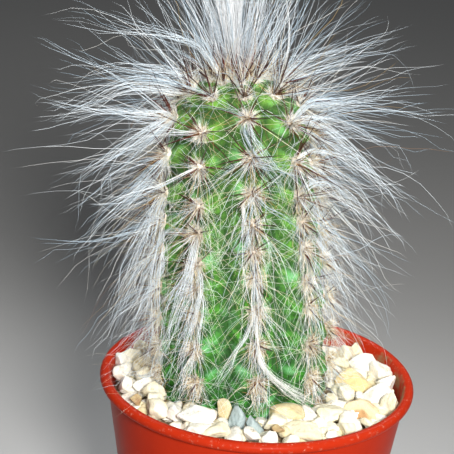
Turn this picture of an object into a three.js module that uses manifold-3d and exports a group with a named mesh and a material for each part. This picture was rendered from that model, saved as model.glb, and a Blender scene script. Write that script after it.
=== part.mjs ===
// A potted oreocereus: a columnar cactus with nine ribs, long white hair and a tuft on its crown. It
// stands in a round plastic pot that is filled with soil under a layer of pale gravel.
// Lengths are millimetres and angles degrees. The pot's flat base lies in the plane z = 0 with its
// centre at the origin, +Z is up, and the side that is mostly looked at faces -Y.

import * as THREE from 'three';
import { mergeVertices } from 'three/addons/utils/BufferGeometryUtils.js';
import Module from 'manifold-3d';

const wasm = await Module();
wasm.setup();

// Pot: a plain round pot of the 10 cm size, with a rolled rim.
const rimRadius = 50;
const potHeight = 86;
const footRadius = 35;
const footBevel = 1;
const potWall = 1.4;
const potFloor = 2;
const beadRadius = 1.7;
const beadOverhang = 0.7;
const beadStart = -80;
const beadEnd = 150;
const beadSteps = 6;
const drainHoles = 4;
const drainHoleRadius = 4;
const drainCircleRadius = 18;
const drainHoleSteps = 12;
const roundSteps = 44;
const wallTop = potHeight - 2 * beadRadius;

// Filling: soil, a bed of gravel that rises to the stem and falls to the back, and the loose fit.
const fitGap = 0.3;
const soilTop = 74;
const bedTop = 79.3;
const bedRise = 4;
const bedSlope = 0.055;
const stoneSeed = 11;
const stoneTries = 6000;
const stoneSmallest = 3.3;
const stoneLargest = 7;
const stoneSizeRange = [0.85, 1.1];
const stoneWidthRange = [0.7, 0.95];
const stoneFlatness = 0.68;
const stoneCrowding = 0.87;
const stoneOffStem = 1.05;
const stoneIntoWall = 0.25;
const stoneProud = 0.5;
const stoneJitter = 0.16;
const stoneTilt = 20;
const woolRoom = 4;
const topByWool = 86.6;
const topByRim = 86.6;
const topOfStones = 89;

// The stones of other colours that lie in pockets of the gravel.
const colouredStones = [
  {
    name: 'slate_stone_left',
    look: { colour: 0x8e9fa8, roughness: 0.75 },
    size: new THREE.Vector3(2.3, 2.8, 5.2),
    place: new THREE.Vector3(-5.8, -33.2, 84.4),
    turn: new THREE.Euler(0.1, -0.12, 0.2),
    seed: 21,
  },
  {
    name: 'slate_stone_right',
    look: { colour: 0x7f919b, roughness: 0.75 },
    size: new THREE.Vector3(2.1, 2.6, 4.3),
    place: new THREE.Vector3(-0.4, -34.6, 83.5),
    turn: new THREE.Euler(0.15, -0.4, -0.1),
    seed: 22,
  },
  {
    name: 'ochre_stone',
    look: { colour: 0xdcb861, roughness: 0.75 },
    size: new THREE.Vector3(6.6, 5.2, 3.4),
    place: new THREE.Vector3(30.6, 1.2, 83.4),
    turn: new THREE.Euler(0.5, 0.15, 0.35),
    seed: 23,
  },
  {
    name: 'stained_stone',
    look: { colour: 0xc9995f, roughness: 0.75 },
    size: new THREE.Vector3(6.4, 4.6, 3),
    place: new THREE.Vector3(32.4, -19.4, 82.8),
    turn: new THREE.Euler(0.3, 0.1, 0.5),
    seed: 24,
  },
];

// Stem: where its foot stands in the gravel, how it leans to -X, and its outline.
const stemFoot = new THREE.Vector3(-4.6, 0, 80);
const stemLean = 4.3;
const stemRadius = 26.95;
const shoulderHeight = 79.7;
const shoulderTaper = 0.202;
const stemHeight = 100.5;
const domePower = 2.3;
const buriedDepth = 14;
const buriedEnd = [
  { depthShare: 1, radiusShare: 0 },
  { depthShare: 0.94, radiusShare: 0.6 },
  { depthShare: 0.7, radiusShare: 0.87 },
];
const stemHoleRadius = stemRadius + 0.5;
const stemHoleSteps = 36;

// Ribs: the first crest lies a little to +X of the front, and the rest follow at equal steps.
const ribCount = 9;
const ribStep = 360 / ribCount;
const firstRibAngle = -78.8;
const ribSteps = 6;
const valleyDepth = 0.165;
const valleyPower = 2.2;
const crestNotch = 0.8;

// Areoles: evenly spaced up the side of the stem, and closer together over its dome.
const lowestAreole = 11.5;
const areolePitch = 10.3;
const sideAreoles = 7;
const domeAreoleAngles = [10, 35, 56, 73];
const woolGap = 0.35;
const woolHeight = 2.3;
const woolBridgeHeight = 1;
const woolHalfWidth = 1 / 3;
const woolBridgeHalfWidth = 0.2;
const woolTopShare = 0.64;

// Hair and spines of an areole, at stages from the lowest areole to the highest one.
const growthStages = [0, 0.3, 0.6, 0.88, 1];
const hairNumbers = [2, 2.4, 3, 4, 4];
const hairLengths = [19, 33, 38, 53, 48];
const hairElevations = [-30, -46, -20, 28, 58];
const hairSags = [0.003, 0.004, 0.005, 0.003, 0.0008];
const hairSideways = [-12, 12, 1, 6];
const hairElevationOffsets = [14, -2, -14, 30];
const hairRootsAcross = [-0.13, 0.13, 0, 0];
const hairRootRises = [1.1, 1.1, -2.2, 2.6];
const droopingHair = 2;
const hairRadius = 0.42;
const hairSeed = 5;
const longerToLeft = 0.12;
const steepest = 68;
const spineNumbers = [1, 1, 2, 3, 3];
const spineLengths = [9, 10, 12, 13, 11];
const spineSideways = [-6, 6, 0.5];
const spineElevationOffsets = [-20, 12, 4];
const spineRootsAcross = [-0.12, 0.12, 0];
const spineRootRises = [-0.9, -0.9, 0.3];
const spineRadius = 0.38;
const needleTaper = 0.45;
const needleAside = new THREE.Vector3(0.13, 0.41, 0.9);
const rootDepthShare = 0.35;
const lastRootSpread = 0.4;
const topHairThinness = 0.8;
const topSpineThinness = 0.75;
const sidewaysBend = 0.8;
const lengthRange = [0.85, 1.15];
const elevationJitter = 8;
const sidewaysJitter = 3;
const clearOverStone = 0.9;
const clearOverRim = 1.6;
const rimZone = [46.5, 53];
const standingShare = 0.8;
const liftStep = 0.5;
const liftTries = 60;
const liftChecks = [0.25, 0.4, 0.55, 0.7, 0.85, 1];

// Crown: a cap of wool on the growing point, a slim core and silky hair that stands straight up.
const capRadius = 4.2;
const capHeight = 7;
const tuftHeight = 62;
const coreRadius = 2.4;
const tuftHairs = 40;
const tuftSpread = 13;
const tuftHairRadius = 0.5;
const tuftRootShare = 0.85;
const outerTuftLength = 0.62;
const tuftLengthRange = [0.9, 1.02];
const tuftSlantRange = [0.8, 1.1];
const goldenTurn = 137.5;
const tuftSeed = 3;

// Plain colours, and how rough each surface is.
const looks = {
  pot: { colour: 0xb4290f, roughness: 0.3 },
  soil: { colour: 0x4b3524, roughness: 0.95 },
  gravel: { colour: 0xe6dcc0, roughness: 0.8 },
  stem: { colour: 0x4c9447, roughness: 0.5 },
  hair: { colour: 0xebe7df, roughness: 0.8 },
  silk: { colour: 0xf4f2ee, roughness: 0.7 },
};

const radians = THREE.MathUtils.degToRad;
const lerp = THREE.MathUtils.lerp;

// Repeatable random numbers from 0 to 1.
function randomFrom(seed) {
  let state = seed * 2654435761 % 4294967296;
  return () => {
    state = (state * 1664525 + 1013904223) % 4294967296;
    return state / 4294967296;
  };
}

// Reads a list of values that belong to growthStages at any growth from 0 to 1.
function atGrowth(values, growth) {
  const next = growthStages.findIndex((stage, index) => index > 0 && growth <= stage);
  const from = growthStages[next - 1];
  const share = (growth - from) / (growthStages[next] - from);
  return lerp(values[next - 1], values[next], share);
}

// A closed three.js geometry as a solid that can be joined and cut.
function solidOf(geometry) {
  const bare = geometry.clone();
  bare.deleteAttribute('normal');
  bare.deleteAttribute('uv');
  const merged = mergeVertices(bare, 1e-4);
  const corners = merged.index.array;
  const kept = [];
  for (let i = 0; i < corners.length; i += 3) {
    const [a, b, c] = corners.slice(i, i + 3);
    if (a !== b && b !== c && c !== a) {
      kept.push(a, b, c);
    }
  }
  return new wasm.Manifold(new wasm.Mesh({
    numProp: 3,
    vertProperties: new Float32Array(merged.attributes.position.array),
    triVerts: new Uint32Array(kept),
  }));
}

function geometryOf(solid) {
  const { vertProperties, triVerts } = solid.getMesh();
  const geometry = new THREE.BufferGeometry();
  geometry.setAttribute('position', new THREE.BufferAttribute(vertProperties, 3));
  geometry.setIndex(new THREE.BufferAttribute(triVerts, 1));
  geometry.computeVertexNormals();
  return geometry;
}

// The solid that a profile of radii and heights sweeps when it is turned about the Z axis.
function turned(profile, steps = roundSteps) {
  return solidOf(new THREE.LatheGeometry(profile, steps).rotateX(Math.PI / 2));
}

function joined(solids) {
  return solids.reduce((whole, solid) => whole.add(solid));
}

// Skins a row of rings that run counterclockwise round the way they are passed through. A first or
// last ring of one point closes the skin there, and any other end gets a flat cap.
function skinned(rings) {
  const positions = rings.flat().flatMap((point) => point.toArray());
  const starts = [];
  let count = 0;
  for (const ring of rings) {
    starts.push(count);
    count += ring.length;
  }
  const corners = [];
  for (let level = 0; level + 1 < rings.length; level += 1) {
    const sides = Math.max(rings[level].length, rings[level + 1].length);
    for (let side = 0; side < sides; side += 1) {
      const next = (side + 1) % sides;
      const [low, lowNext] = rings[level].length === 1 ? [0, 0] : [side, next];
      const [high, highNext] = rings[level + 1].length === 1 ? [0, 0] : [side, next];
      if (low !== lowNext) {
        corners.push(starts[level] + low, starts[level] + lowNext, starts[level + 1] + highNext);
      }
      if (high !== highNext || low === lowNext) {
        corners.push(starts[level] + low, starts[level + 1] + highNext, starts[level + 1] + high);
      }
    }
  }
  const last = rings.length - 1;
  for (let side = 1; side + 1 < rings[0].length; side += 1) {
    corners.push(starts[0], starts[0] + side + 1, starts[0] + side);
  }
  for (let side = 1; side + 1 < rings[last].length; side += 1) {
    corners.push(starts[last], starts[last] + side, starts[last] + side + 1);
  }
  const geometry = new THREE.BufferGeometry();
  geometry.setAttribute('position', new THREE.Float32BufferAttribute(positions, 3));
  geometry.setIndex(corners.filter((_, index) => {
    const first = index - index % 3;
    return new Set(corners.slice(first, first + 3)).size === 3;
  }));
  return geometry;
}

// A three-sided needle along a path, tapering from its thick root to a point. Its sides are set out
// from a direction that no needle runs along.
function needle(path, radius) {
  const rings = path.slice(0, -1).map((point, index) => {
    const before = path[Math.max(index - 1, 0)];
    const along = path[index + 1].clone().sub(before).normalize();
    const side = needleAside.clone().cross(along).normalize();
    const other = along.clone().cross(side);
    const thickness = radius * (1 - needleTaper * index / (path.length - 1));
    return [0, 120, 240].map((turn) => point.clone()
      .addScaledVector(side, thickness * Math.cos(radians(turn)))
      .addScaledVector(other, thickness * Math.sin(radians(turn))));
  });
  return solidOf(skinned([...rings, [path[path.length - 1]]]));
}

// The plant's own frame: +Z runs up the leaning stem from its foot.
const plant = new THREE.Group();
plant.position.copy(stemFoot);
plant.rotation.y = -radians(stemLean);
plant.updateMatrix();

function outerWallRadius(height) {
  const wallTopRadius = rimRadius - beadRadius - beadOverhang;
  return lerp(footRadius, wallTopRadius, (height - footBevel) / (wallTop - footBevel));
}

function innerWallRadius(height) {
  return outerWallRadius(height) - potWall;
}

function makePot() {
  const profile = [
    new THREE.Vector2(0, 0),
    new THREE.Vector2(footRadius - footBevel, 0),
    new THREE.Vector2(footRadius, footBevel),
    new THREE.Vector2(outerWallRadius(wallTop), wallTop),
  ];
  for (let step = 0; step <= beadSteps; step += 1) {
    const turn = radians(lerp(beadStart, beadEnd, step / beadSteps));
    profile.push(new THREE.Vector2(
      rimRadius - beadRadius + beadRadius * Math.cos(turn),
      potHeight - beadRadius + beadRadius * Math.sin(turn),
    ));
  }
  profile.push(
    new THREE.Vector2(innerWallRadius(wallTop), wallTop),
    new THREE.Vector2(innerWallRadius(potFloor), potFloor),
    new THREE.Vector2(0, potFloor),
  );
  let pot = turned(profile);
  for (let hole = 0; hole < drainHoles; hole += 1) {
    const turn = 2 * Math.PI * hole / drainHoles;
    const drill = new THREE.CylinderGeometry(drainHoleRadius, drainHoleRadius, 4 * potFloor, drainHoleSteps)
      .rotateX(Math.PI / 2)
      .translate(drainCircleRadius * Math.cos(turn), drainCircleRadius * Math.sin(turn), 0);
    pot = pot.subtract(solidOf(drill));
  }
  return geometryOf(pot);
}

// The plain round hole that the buried end of the stem stands in, a little wider than its crests.
function stemHole() {
  const depth = buriedDepth + fitGap;
  const length = 2 * depth;
  const hole = new THREE.CylinderGeometry(stemHoleRadius, stemHoleRadius, length, stemHoleSteps)
    .rotateX(Math.PI / 2)
    .translate(0, 0, length / 2 - depth)
    .applyMatrix4(plant.matrix);
  return solidOf(hole);
}

function makeSoil() {
  const profile = [
    new THREE.Vector2(0, potFloor + fitGap),
    new THREE.Vector2(innerWallRadius(potFloor) - 2 * fitGap, potFloor + fitGap),
    new THREE.Vector2(innerWallRadius(soilTop) - 2 * fitGap, soilTop),
    new THREE.Vector2(0, soilTop),
  ];
  return geometryOf(turned(profile).subtract(stemHole()));
}

function bedHeight(x, y) {
  return bedTop + bedRise * (1 - Math.hypot(x, y) / innerWallRadius(soilTop)) - bedSlope * y;
}

function makeBed() {
  const low = soilTop + fitGap;
  const radius = innerWallRadius(low) - 2 * fitGap;
  const profile = [
    new THREE.Vector2(0, low),
    new THREE.Vector2(radius, low),
    new THREE.Vector2(radius, bedTop),
    new THREE.Vector2(0, bedTop),
  ];
  const bed = new THREE.LatheGeometry(profile, roundSteps).rotateX(Math.PI / 2);
  const points = bed.attributes.position;
  for (let i = 0; i < points.count; i += 1) {
    if (points.getZ(i) > (low + bedTop) / 2) {
      points.setZ(i, bedHeight(points.getX(i), points.getY(i)));
    }
  }
  return solidOf(bed).subtract(stemHole());
}

// The room for gravel inside the pot's wall.
function fillingRoom() {
  const low = soilTop + fitGap;
  const high = 1.2 * potHeight;
  const wide = innerWallRadius(wallTop) - 2 * fitGap;
  return turned([
    new THREE.Vector2(0, low),
    new THREE.Vector2(innerWallRadius(low) - 2 * fitGap, low),
    new THREE.Vector2(wide, wallTop),
    new THREE.Vector2(wide, high),
    new THREE.Vector2(0, high),
  ]);
}

// An angular pebble: a ball of flat facets, pushed out of round and squashed.
function pebble({ size, place, turn, detail, random, growth = 0 }) {
  const ball = new THREE.IcosahedronGeometry(1, detail);
  ball.deleteAttribute('normal');
  ball.deleteAttribute('uv');
  const stone = mergeVertices(ball, 1e-4);
  const points = stone.attributes.position;
  for (let i = 0; i < points.count; i += 1) {
    const push = 1 + stoneJitter * (2 * random() - 1);
    points.setXYZ(i, points.getX(i) * push, points.getY(i) * push, points.getZ(i) * push);
  }
  stone.scale(size.x + growth, size.y + growth, size.z + growth);
  stone.applyMatrix4(new THREE.Matrix4().makeRotationFromEuler(turn));
  stone.translate(place.x, place.y, place.z);
  return stone;
}

function colouredPebble(stone, growth) {
  return solidOf(pebble({ ...stone, detail: 1, random: randomFrom(stone.seed), growth }));
}

// How high a pebble may stand: below the wool on the rib crests, and about level with the pot's rim.
function highestTop(x, y, reach) {
  const fromStem = Math.hypot(x - stemFoot.x, y - stemFoot.y);
  const turn = THREE.MathUtils.radToDeg(Math.atan2(y - stemFoot.y, x - stemFoot.x));
  const halfStep = ribStep / 2;
  const offCrest = THREE.MathUtils.euclideanModulo(turn - firstRibAngle + halfStep, ribStep) - halfStep;
  const halfView = THREE.MathUtils.radToDeg(Math.asin(reach / Math.max(fromStem, reach)));
  const facesWool = Math.abs(offCrest) < halfView + halfStep * woolHalfWidth;
  if (facesWool && fromStem - reach < stemRadius + woolRoom) {
    return topByWool;
  }
  return Math.hypot(x, y) + reach > innerWallRadius(wallTop) - reach ? topByRim : topOfStones;
}

// The pale gravel's pebbles, strewn at random round the stem and packed close, large ones first.
function strewnPebbles() {
  const random = randomFrom(stoneSeed);
  const taken = colouredStones.map(({ place, size }) => ({
    place,
    reach: Math.max(size.x, size.y),
  }));
  const pebbles = [];
  for (let tries = 0; tries < stoneTries; tries += 1) {
    const share = Math.sqrt(tries / stoneTries);
    const reach = lerp(stoneLargest, stoneSmallest, share) * lerp(...stoneSizeRange, random());
    const x = rimRadius * (2 * random() - 1);
    const y = rimRadius * (2 * random() - 1);
    const inPot = Math.hypot(x, y) + (1 - stoneIntoWall) * reach < innerWallRadius(bedTop);
    const fromStem = Math.hypot(x - stemFoot.x, y - stemFoot.y);
    const offStem = fromStem - stoneOffStem * reach > stemHoleRadius;
    const apart = taken.every((other) => (
      Math.hypot(x - other.place.x, y - other.place.y) > stoneCrowding * (reach + other.reach)
    ));
    if (inPot && offStem && apart) {
      const width = reach * lerp(...stoneWidthRange, random());
      const size = new THREE.Vector3(reach, width, reach * stoneFlatness);
      const resting = bedHeight(x, y) + stoneProud * size.z;
      const height = Math.min(resting, highestTop(x, y, reach) - size.z);
      const place = new THREE.Vector3(x, y, height);
      const turn = new THREE.Euler(
        radians(stoneTilt) * (2 * random() - 1),
        radians(stoneTilt) * (2 * random() - 1),
        2 * Math.PI * random(),
        'ZYX',
      );
      taken.push({ place, reach });
      pebbles.push({ size, place, turn, seed: stoneSeed + tries });
    }
  }
  return pebbles;
}

const palePebbles = strewnPebbles();

function makeGravel() {
  const pebbles = palePebbles.map((stone) => (
    solidOf(pebble({ ...stone, detail: 0, random: randomFrom(stone.seed) }))
  ));
  let gravel = joined([makeBed(), ...pebbles]).intersect(fillingRoom());
  for (const stone of colouredStones) {
    gravel = gravel.subtract(colouredPebble(stone, 1.3 * fitGap));
  }
  return geometryOf(gravel);
}

// The height that a hair must keep over the stones or over the pot's rim at a place.
function clearHeight(x, y) {
  const reach = Math.hypot(x, y);
  let height = reach > rimZone[0] && reach < rimZone[1] ? potHeight + clearOverRim : 0;
  for (const { place, size } of [...palePebbles, ...colouredStones]) {
    const wide = Math.max(size.x, size.y);
    if (Math.hypot(x - place.x, y - place.y) < wide * (1 + stoneJitter) + clearOverStone) {
      height = Math.max(height, place.z + Math.max(size.z, standingShare * wide) + clearOverStone);
    }
  }
  return height;
}

// Levels of the stem from its shoulder up over the dome, by an angle from 0 to 90.
function domeLevel(angle, areole) {
  const power = 2 / domePower;
  const shoulderRadius = stemRadius * (1 - shoulderTaper);
  return {
    height: shoulderHeight + (stemHeight - shoulderHeight) * Math.sin(radians(angle)) ** power,
    radius: shoulderRadius * Math.max(Math.cos(radians(angle)), 0) ** power,
    areole,
  };
}

function sideLevel(height, areole) {
  return {
    height,
    radius: stemRadius * (1 - shoulderTaper * Math.max(height / shoulderHeight, 0) ** 2),
    areole,
  };
}

// Every level of the stem that carries vertices: each areole and halfway between each two.
function stemLevels() {
  const rising = buriedEnd.map(({ depthShare, radiusShare }) => ({
    height: -depthShare * buriedDepth,
    radius: radiusShare * stemRadius,
    areole: false,
  }));
  rising.push(sideLevel(0, false), sideLevel(lowestAreole - areolePitch / 4, false));
  for (let index = 0; index < sideAreoles; index += 1) {
    const height = lowestAreole + areolePitch * index;
    rising.push(sideLevel(height, true));
    if (index + 1 < sideAreoles) {
      rising.push(sideLevel(height + areolePitch / 2, false));
    }
  }
  rising.push(sideLevel((rising[rising.length - 1].height + shoulderHeight) / 2, false));
  domeAreoleAngles.forEach((angle, index) => {
    if (index > 0) {
      rising.push(domeLevel((domeAreoleAngles[index - 1] + angle) / 2, false));
    }
    rising.push(domeLevel(angle, true));
  });
  const last = domeAreoleAngles[domeAreoleAngles.length - 1];
  rising.push(domeLevel((last + 90) / 2, false), domeLevel(90, false));
  return rising;
}

const levels = stemLevels();
const areoleLevels = levels.filter((level) => level.areole);

// The outward slant of the stem's outline at a level, as parts along the radius and the axis.
function outlineNormal(level) {
  const index = levels.indexOf(level);
  const below = levels[Math.max(index - 1, 0)];
  const above = levels[Math.min(index + 1, levels.length - 1)];
  return new THREE.Vector2(above.height - below.height, below.radius - above.radius).normalize();
}

// A point on a rib, or lifted off it. Across the rib, -1 and 1 are its valleys and 0 its crest.
function ribPoint(level, rib, across, lift = 0) {
  const normal = outlineNormal(level);
  const notch = level.areole || level.height < lowestAreole ? 0 : crestNotch * (1 - Math.abs(across));
  const notchShare = level.radius / stemRadius;
  const radius = level.radius * (1 - valleyDepth * Math.abs(across) ** valleyPower)
    - notch * notchShare
    + lift * normal.x;
  const turn = radians(firstRibAngle + ribStep * (rib + across / 2));
  return new THREE.Vector3(
    radius * Math.cos(turn),
    radius * Math.sin(turn),
    level.height + lift * normal.y,
  );
}

function makeStem() {
  const rings = levels.map((level) => {
    if (level.radius < 1e-3) {
      return [new THREE.Vector3(0, 0, level.height)];
    }
    const ring = [];
    for (let rib = 0; rib < ribCount; rib += 1) {
      for (let step = 0; step < ribSteps; step += 1) {
        ring.push(ribPoint(level, rib, -1 + 2 * step / ribSteps));
      }
    }
    return ring;
  });
  return geometryOf(solidOf(skinned(rings)));
}

// A point across a rib that keeps to the flat facet between the crest and the next step.
function facetPoint(level, rib, across, lift) {
  const step = 2 / ribSteps;
  const crest = ribPoint(level, rib, 0, lift);
  const side = ribPoint(level, rib, Math.sign(across) * step, lift);
  return crest.lerp(side, Math.abs(across) / step);
}

// The matted wool on a rib's crest, swelling at each areole and thin between them.
function woolStrip(rib) {
  const first = levels.indexOf(areoleLevels[0]) - 1;
  const last = levels.indexOf(areoleLevels[areoleLevels.length - 1]);
  const rings = levels.slice(first, last + 1).map((level) => {
    const share = Math.sqrt(level.radius / stemRadius);
    const width = level.areole ? woolHalfWidth : woolBridgeHalfWidth;
    const height = share * (level.areole ? woolHeight : woolBridgeHeight);
    return [
      facetPoint(level, rib, 0, woolGap),
      facetPoint(level, rib, -width, woolGap),
      facetPoint(level, rib, -woolTopShare * width, woolGap + height),
      facetPoint(level, rib, woolTopShare * width, woolGap + height),
      facetPoint(level, rib, width, woolGap),
    ];
  });
  return solidOf(skinned(rings));
}

// Lifts the later points of a hair until all of it passes over the stones and over the pot's rim.
function liftedClear(path) {
  const isClear = (point) => {
    const placed = point.clone().applyMatrix4(plant.matrix);
    return placed.z > clearHeight(placed.x, placed.y);
  };
  for (let index = 1; index < path.length; index += 1) {
    const passes = () => liftChecks.every((share) => (
      isClear(path[index - 1].clone().lerp(path[index], share))
    ));
    for (let tries = 0; tries < liftTries && !passes(); tries += 1) {
      path[index].z += liftStep;
    }
  }
  return path;
}

// The path of a hair or spine from its root in an areole's wool. It turns sideways about the stem's
// axis, so that it stays over its own rib, and sags with the square of the way along it.
function strandPath({ level, rib, rootAcross, rootRise, length, elevation, sideways, sag, bends }) {
  const size = Math.sqrt(level.radius / stemRadius);
  const normal = outlineNormal(level);
  const root = ribPoint(level, rib, rootAcross, woolGap + rootDepthShare * woolHeight * size);
  const rootRadius = Math.hypot(root.x, root.y) - rootRise * size * normal.y;
  const rootTurn = Math.atan2(root.y, root.x);
  const path = [];
  for (let bend = 0; bend <= bends + 1; bend += 1) {
    const share = bend / (bends + 1);
    const radius = rootRadius + length * share * Math.cos(radians(elevation));
    const turn = rootTurn + radians(sideways) * share ** sidewaysBend;
    const height = root.z + rootRise * size * normal.x
      + length * share * Math.sin(radians(elevation))
      - sag * (length * share) ** 2;
    path.push(new THREE.Vector3(radius * Math.cos(turn), radius * Math.sin(turn), height));
  }
  return liftedClear(path);
}

// One rib's row of areoles: wool, spines and locks of hair, grown together into one body.
function makeAreoleRow(rib) {
  const random = randomFrom(hairSeed + rib);
  const toLeft = -Math.cos(radians(firstRibAngle + ribStep * rib));
  const pieces = [woolStrip(rib)];
  areoleLevels.forEach((level, index) => {
    const growth = index / (areoleLevels.length - 1);
    const mirror = index % 2 ? -1 : 1;
    const hairs = Math.round(atGrowth(hairNumbers, growth));
    const longest = atGrowth(hairLengths, growth) * (1 + longerToLeft * toLeft);
    const rootSpread = index === areoleLevels.length - 1 ? lastRootSpread : 1;
    for (let which = 0; which < hairs; which += 1) {
      const elevation = atGrowth(hairElevations, growth) + hairElevationOffsets[which];
      pieces.push(needle(strandPath({
        level,
        rib,
        rootAcross: mirror * hairRootsAcross[which],
        rootRise: rootSpread * hairRootRises[which],
        length: longest * lerp(...lengthRange, random()),
        elevation: Math.min(elevation + elevationJitter * (2 * random() - 1), steepest),
        sideways: mirror * hairSideways[which] + sidewaysJitter * (2 * random() - 1),
        sag: atGrowth(hairSags, growth),
        bends: which === droopingHair && index % 2 === 0 ? 1 : 0,
      }), hairRadius * lerp(1, topHairThinness, growth)));
    }
    const spines = Math.round(atGrowth(spineNumbers, growth));
    for (let which = 0; which < spines; which += 1) {
      const elevation = atGrowth(hairElevations, growth) / 2 + spineElevationOffsets[which];
      pieces.push(needle(strandPath({
        level,
        rib,
        rootAcross: -mirror * spineRootsAcross[which],
        rootRise: rootSpread * spineRootRises[which],
        length: atGrowth(spineLengths, growth) * lerp(...lengthRange, random()),
        elevation: Math.min(elevation, steepest),
        sideways: -mirror * spineSideways[which],
        sag: 0,
        bends: 0,
      }), spineRadius * lerp(1, topSpineThinness, growth)));
    }
  });
  return geometryOf(joined(pieces));
}

// The tuft on the growing point, kept inside a narrow cone about the stem's axis.
function makeCrownTuft() {
  const random = randomFrom(tuftSeed);
  const low = stemHeight + woolGap;
  const capProfile = [
    new THREE.Vector2(0, low),
    new THREE.Vector2(capRadius, low),
    new THREE.Vector2(1.03 * capRadius, low + 0.35 * capHeight),
    new THREE.Vector2(0.7 * capRadius, low + 0.8 * capHeight),
    new THREE.Vector2(0, low + capHeight),
  ];
  const coreProfile = [
    new THREE.Vector2(0, low + 0.3 * capHeight),
    new THREE.Vector2(coreRadius, low + 0.5 * capHeight),
    new THREE.Vector2(0.8 * coreRadius, low + 0.45 * tuftHeight),
    new THREE.Vector2(0, low + 0.9 * tuftHeight),
  ];
  const pieces = [turned(capProfile, 12), turned(coreProfile, 7)];
  for (let hair = 0; hair < tuftHairs; hair += 1) {
    const share = (hair + 0.5) / tuftHairs;
    const turn = radians(goldenTurn * hair);
    const rootReach = tuftRootShare * capRadius * Math.sqrt(share);
    const longest = tuftHeight * lerp(1, outerTuftLength, share);
    const length = longest * lerp(...tuftLengthRange, random());
    const slant = radians(tuftSpread * share * lerp(...tuftSlantRange, random()));
    const path = [0, 1].map((along) => {
      const reach = rootReach + length * along * Math.sin(slant);
      const height = low + 0.3 * capHeight + length * along * Math.cos(slant);
      return new THREE.Vector3(reach * Math.cos(turn), reach * Math.sin(turn), height);
    });
    pieces.push(needle(path, tuftHairRadius));
  }
  return geometryOf(joined(pieces));
}

function named(name, geometry, { colour, roughness }) {
  const material = new THREE.MeshStandardMaterial({ color: colour, roughness, metalness: 0 });
  const mesh = new THREE.Mesh(geometry, material);
  mesh.name = name;
  return mesh;
}

const pottedOreocereus = new THREE.Group();
pottedOreocereus.add(
  named('pot', makePot(), looks.pot),
  named('soil', makeSoil(), looks.soil),
  named('gravel', makeGravel(), looks.gravel),
);
for (const stone of colouredStones) {
  pottedOreocereus.add(named(stone.name, geometryOf(colouredPebble(stone, 0)), stone.look));
}

plant.add(named('stem', makeStem(), looks.stem));
for (let rib = 0; rib < ribCount; rib += 1) {
  plant.add(named(`areole_row_${rib + 1}`, makeAreoleRow(rib), looks.hair));
}
plant.add(named('crown_tuft', makeCrownTuft(), looks.silk));
pottedOreocereus.add(plant);

export default pottedOreocereus;
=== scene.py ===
import math

import bmesh
import bpy
import numpy as np
from mathutils import Euler, Matrix, Vector


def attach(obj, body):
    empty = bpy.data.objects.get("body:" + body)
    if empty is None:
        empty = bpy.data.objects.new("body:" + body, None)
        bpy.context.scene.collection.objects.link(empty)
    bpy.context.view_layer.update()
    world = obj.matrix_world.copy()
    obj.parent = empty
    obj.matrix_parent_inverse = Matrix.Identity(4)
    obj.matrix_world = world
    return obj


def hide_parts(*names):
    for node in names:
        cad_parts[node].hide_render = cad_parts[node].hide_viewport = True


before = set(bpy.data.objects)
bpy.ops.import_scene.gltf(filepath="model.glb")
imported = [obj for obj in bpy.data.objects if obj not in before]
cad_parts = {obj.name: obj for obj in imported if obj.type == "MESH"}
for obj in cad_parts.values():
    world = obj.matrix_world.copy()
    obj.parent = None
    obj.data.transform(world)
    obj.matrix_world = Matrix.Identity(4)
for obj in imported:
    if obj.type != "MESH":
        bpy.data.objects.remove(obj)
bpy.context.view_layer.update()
print("frame loaded")

# Lengths below are millimetres, and every mesh is scaled to metres as it is made.
millimetre = 0.001
fullTurn = 2 * math.pi
goldenTurn = math.radians(137.5)
down = np.array([0.0, 0.0, -1.0])


# Wraps a shader socket, so that node maths reads as a plain expression.
class Wire:
    def __init__(self, finish, socket):
        self.finish = finish
        self.socket = socket

    def maths(self, operation, first, second):
        return self.finish.add("Math", {"operation": operation}, {0: first, 1: second})

    def __add__(self, other):
        return self.maths("ADD", self, other)

    def __sub__(self, other):
        return self.maths("SUBTRACT", self, other)

    def __rsub__(self, other):
        return self.maths("SUBTRACT", other, self)

    def __mul__(self, other):
        return self.maths("MULTIPLY", self, other)

    __radd__ = __add__
    __rmul__ = __mul__


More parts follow.
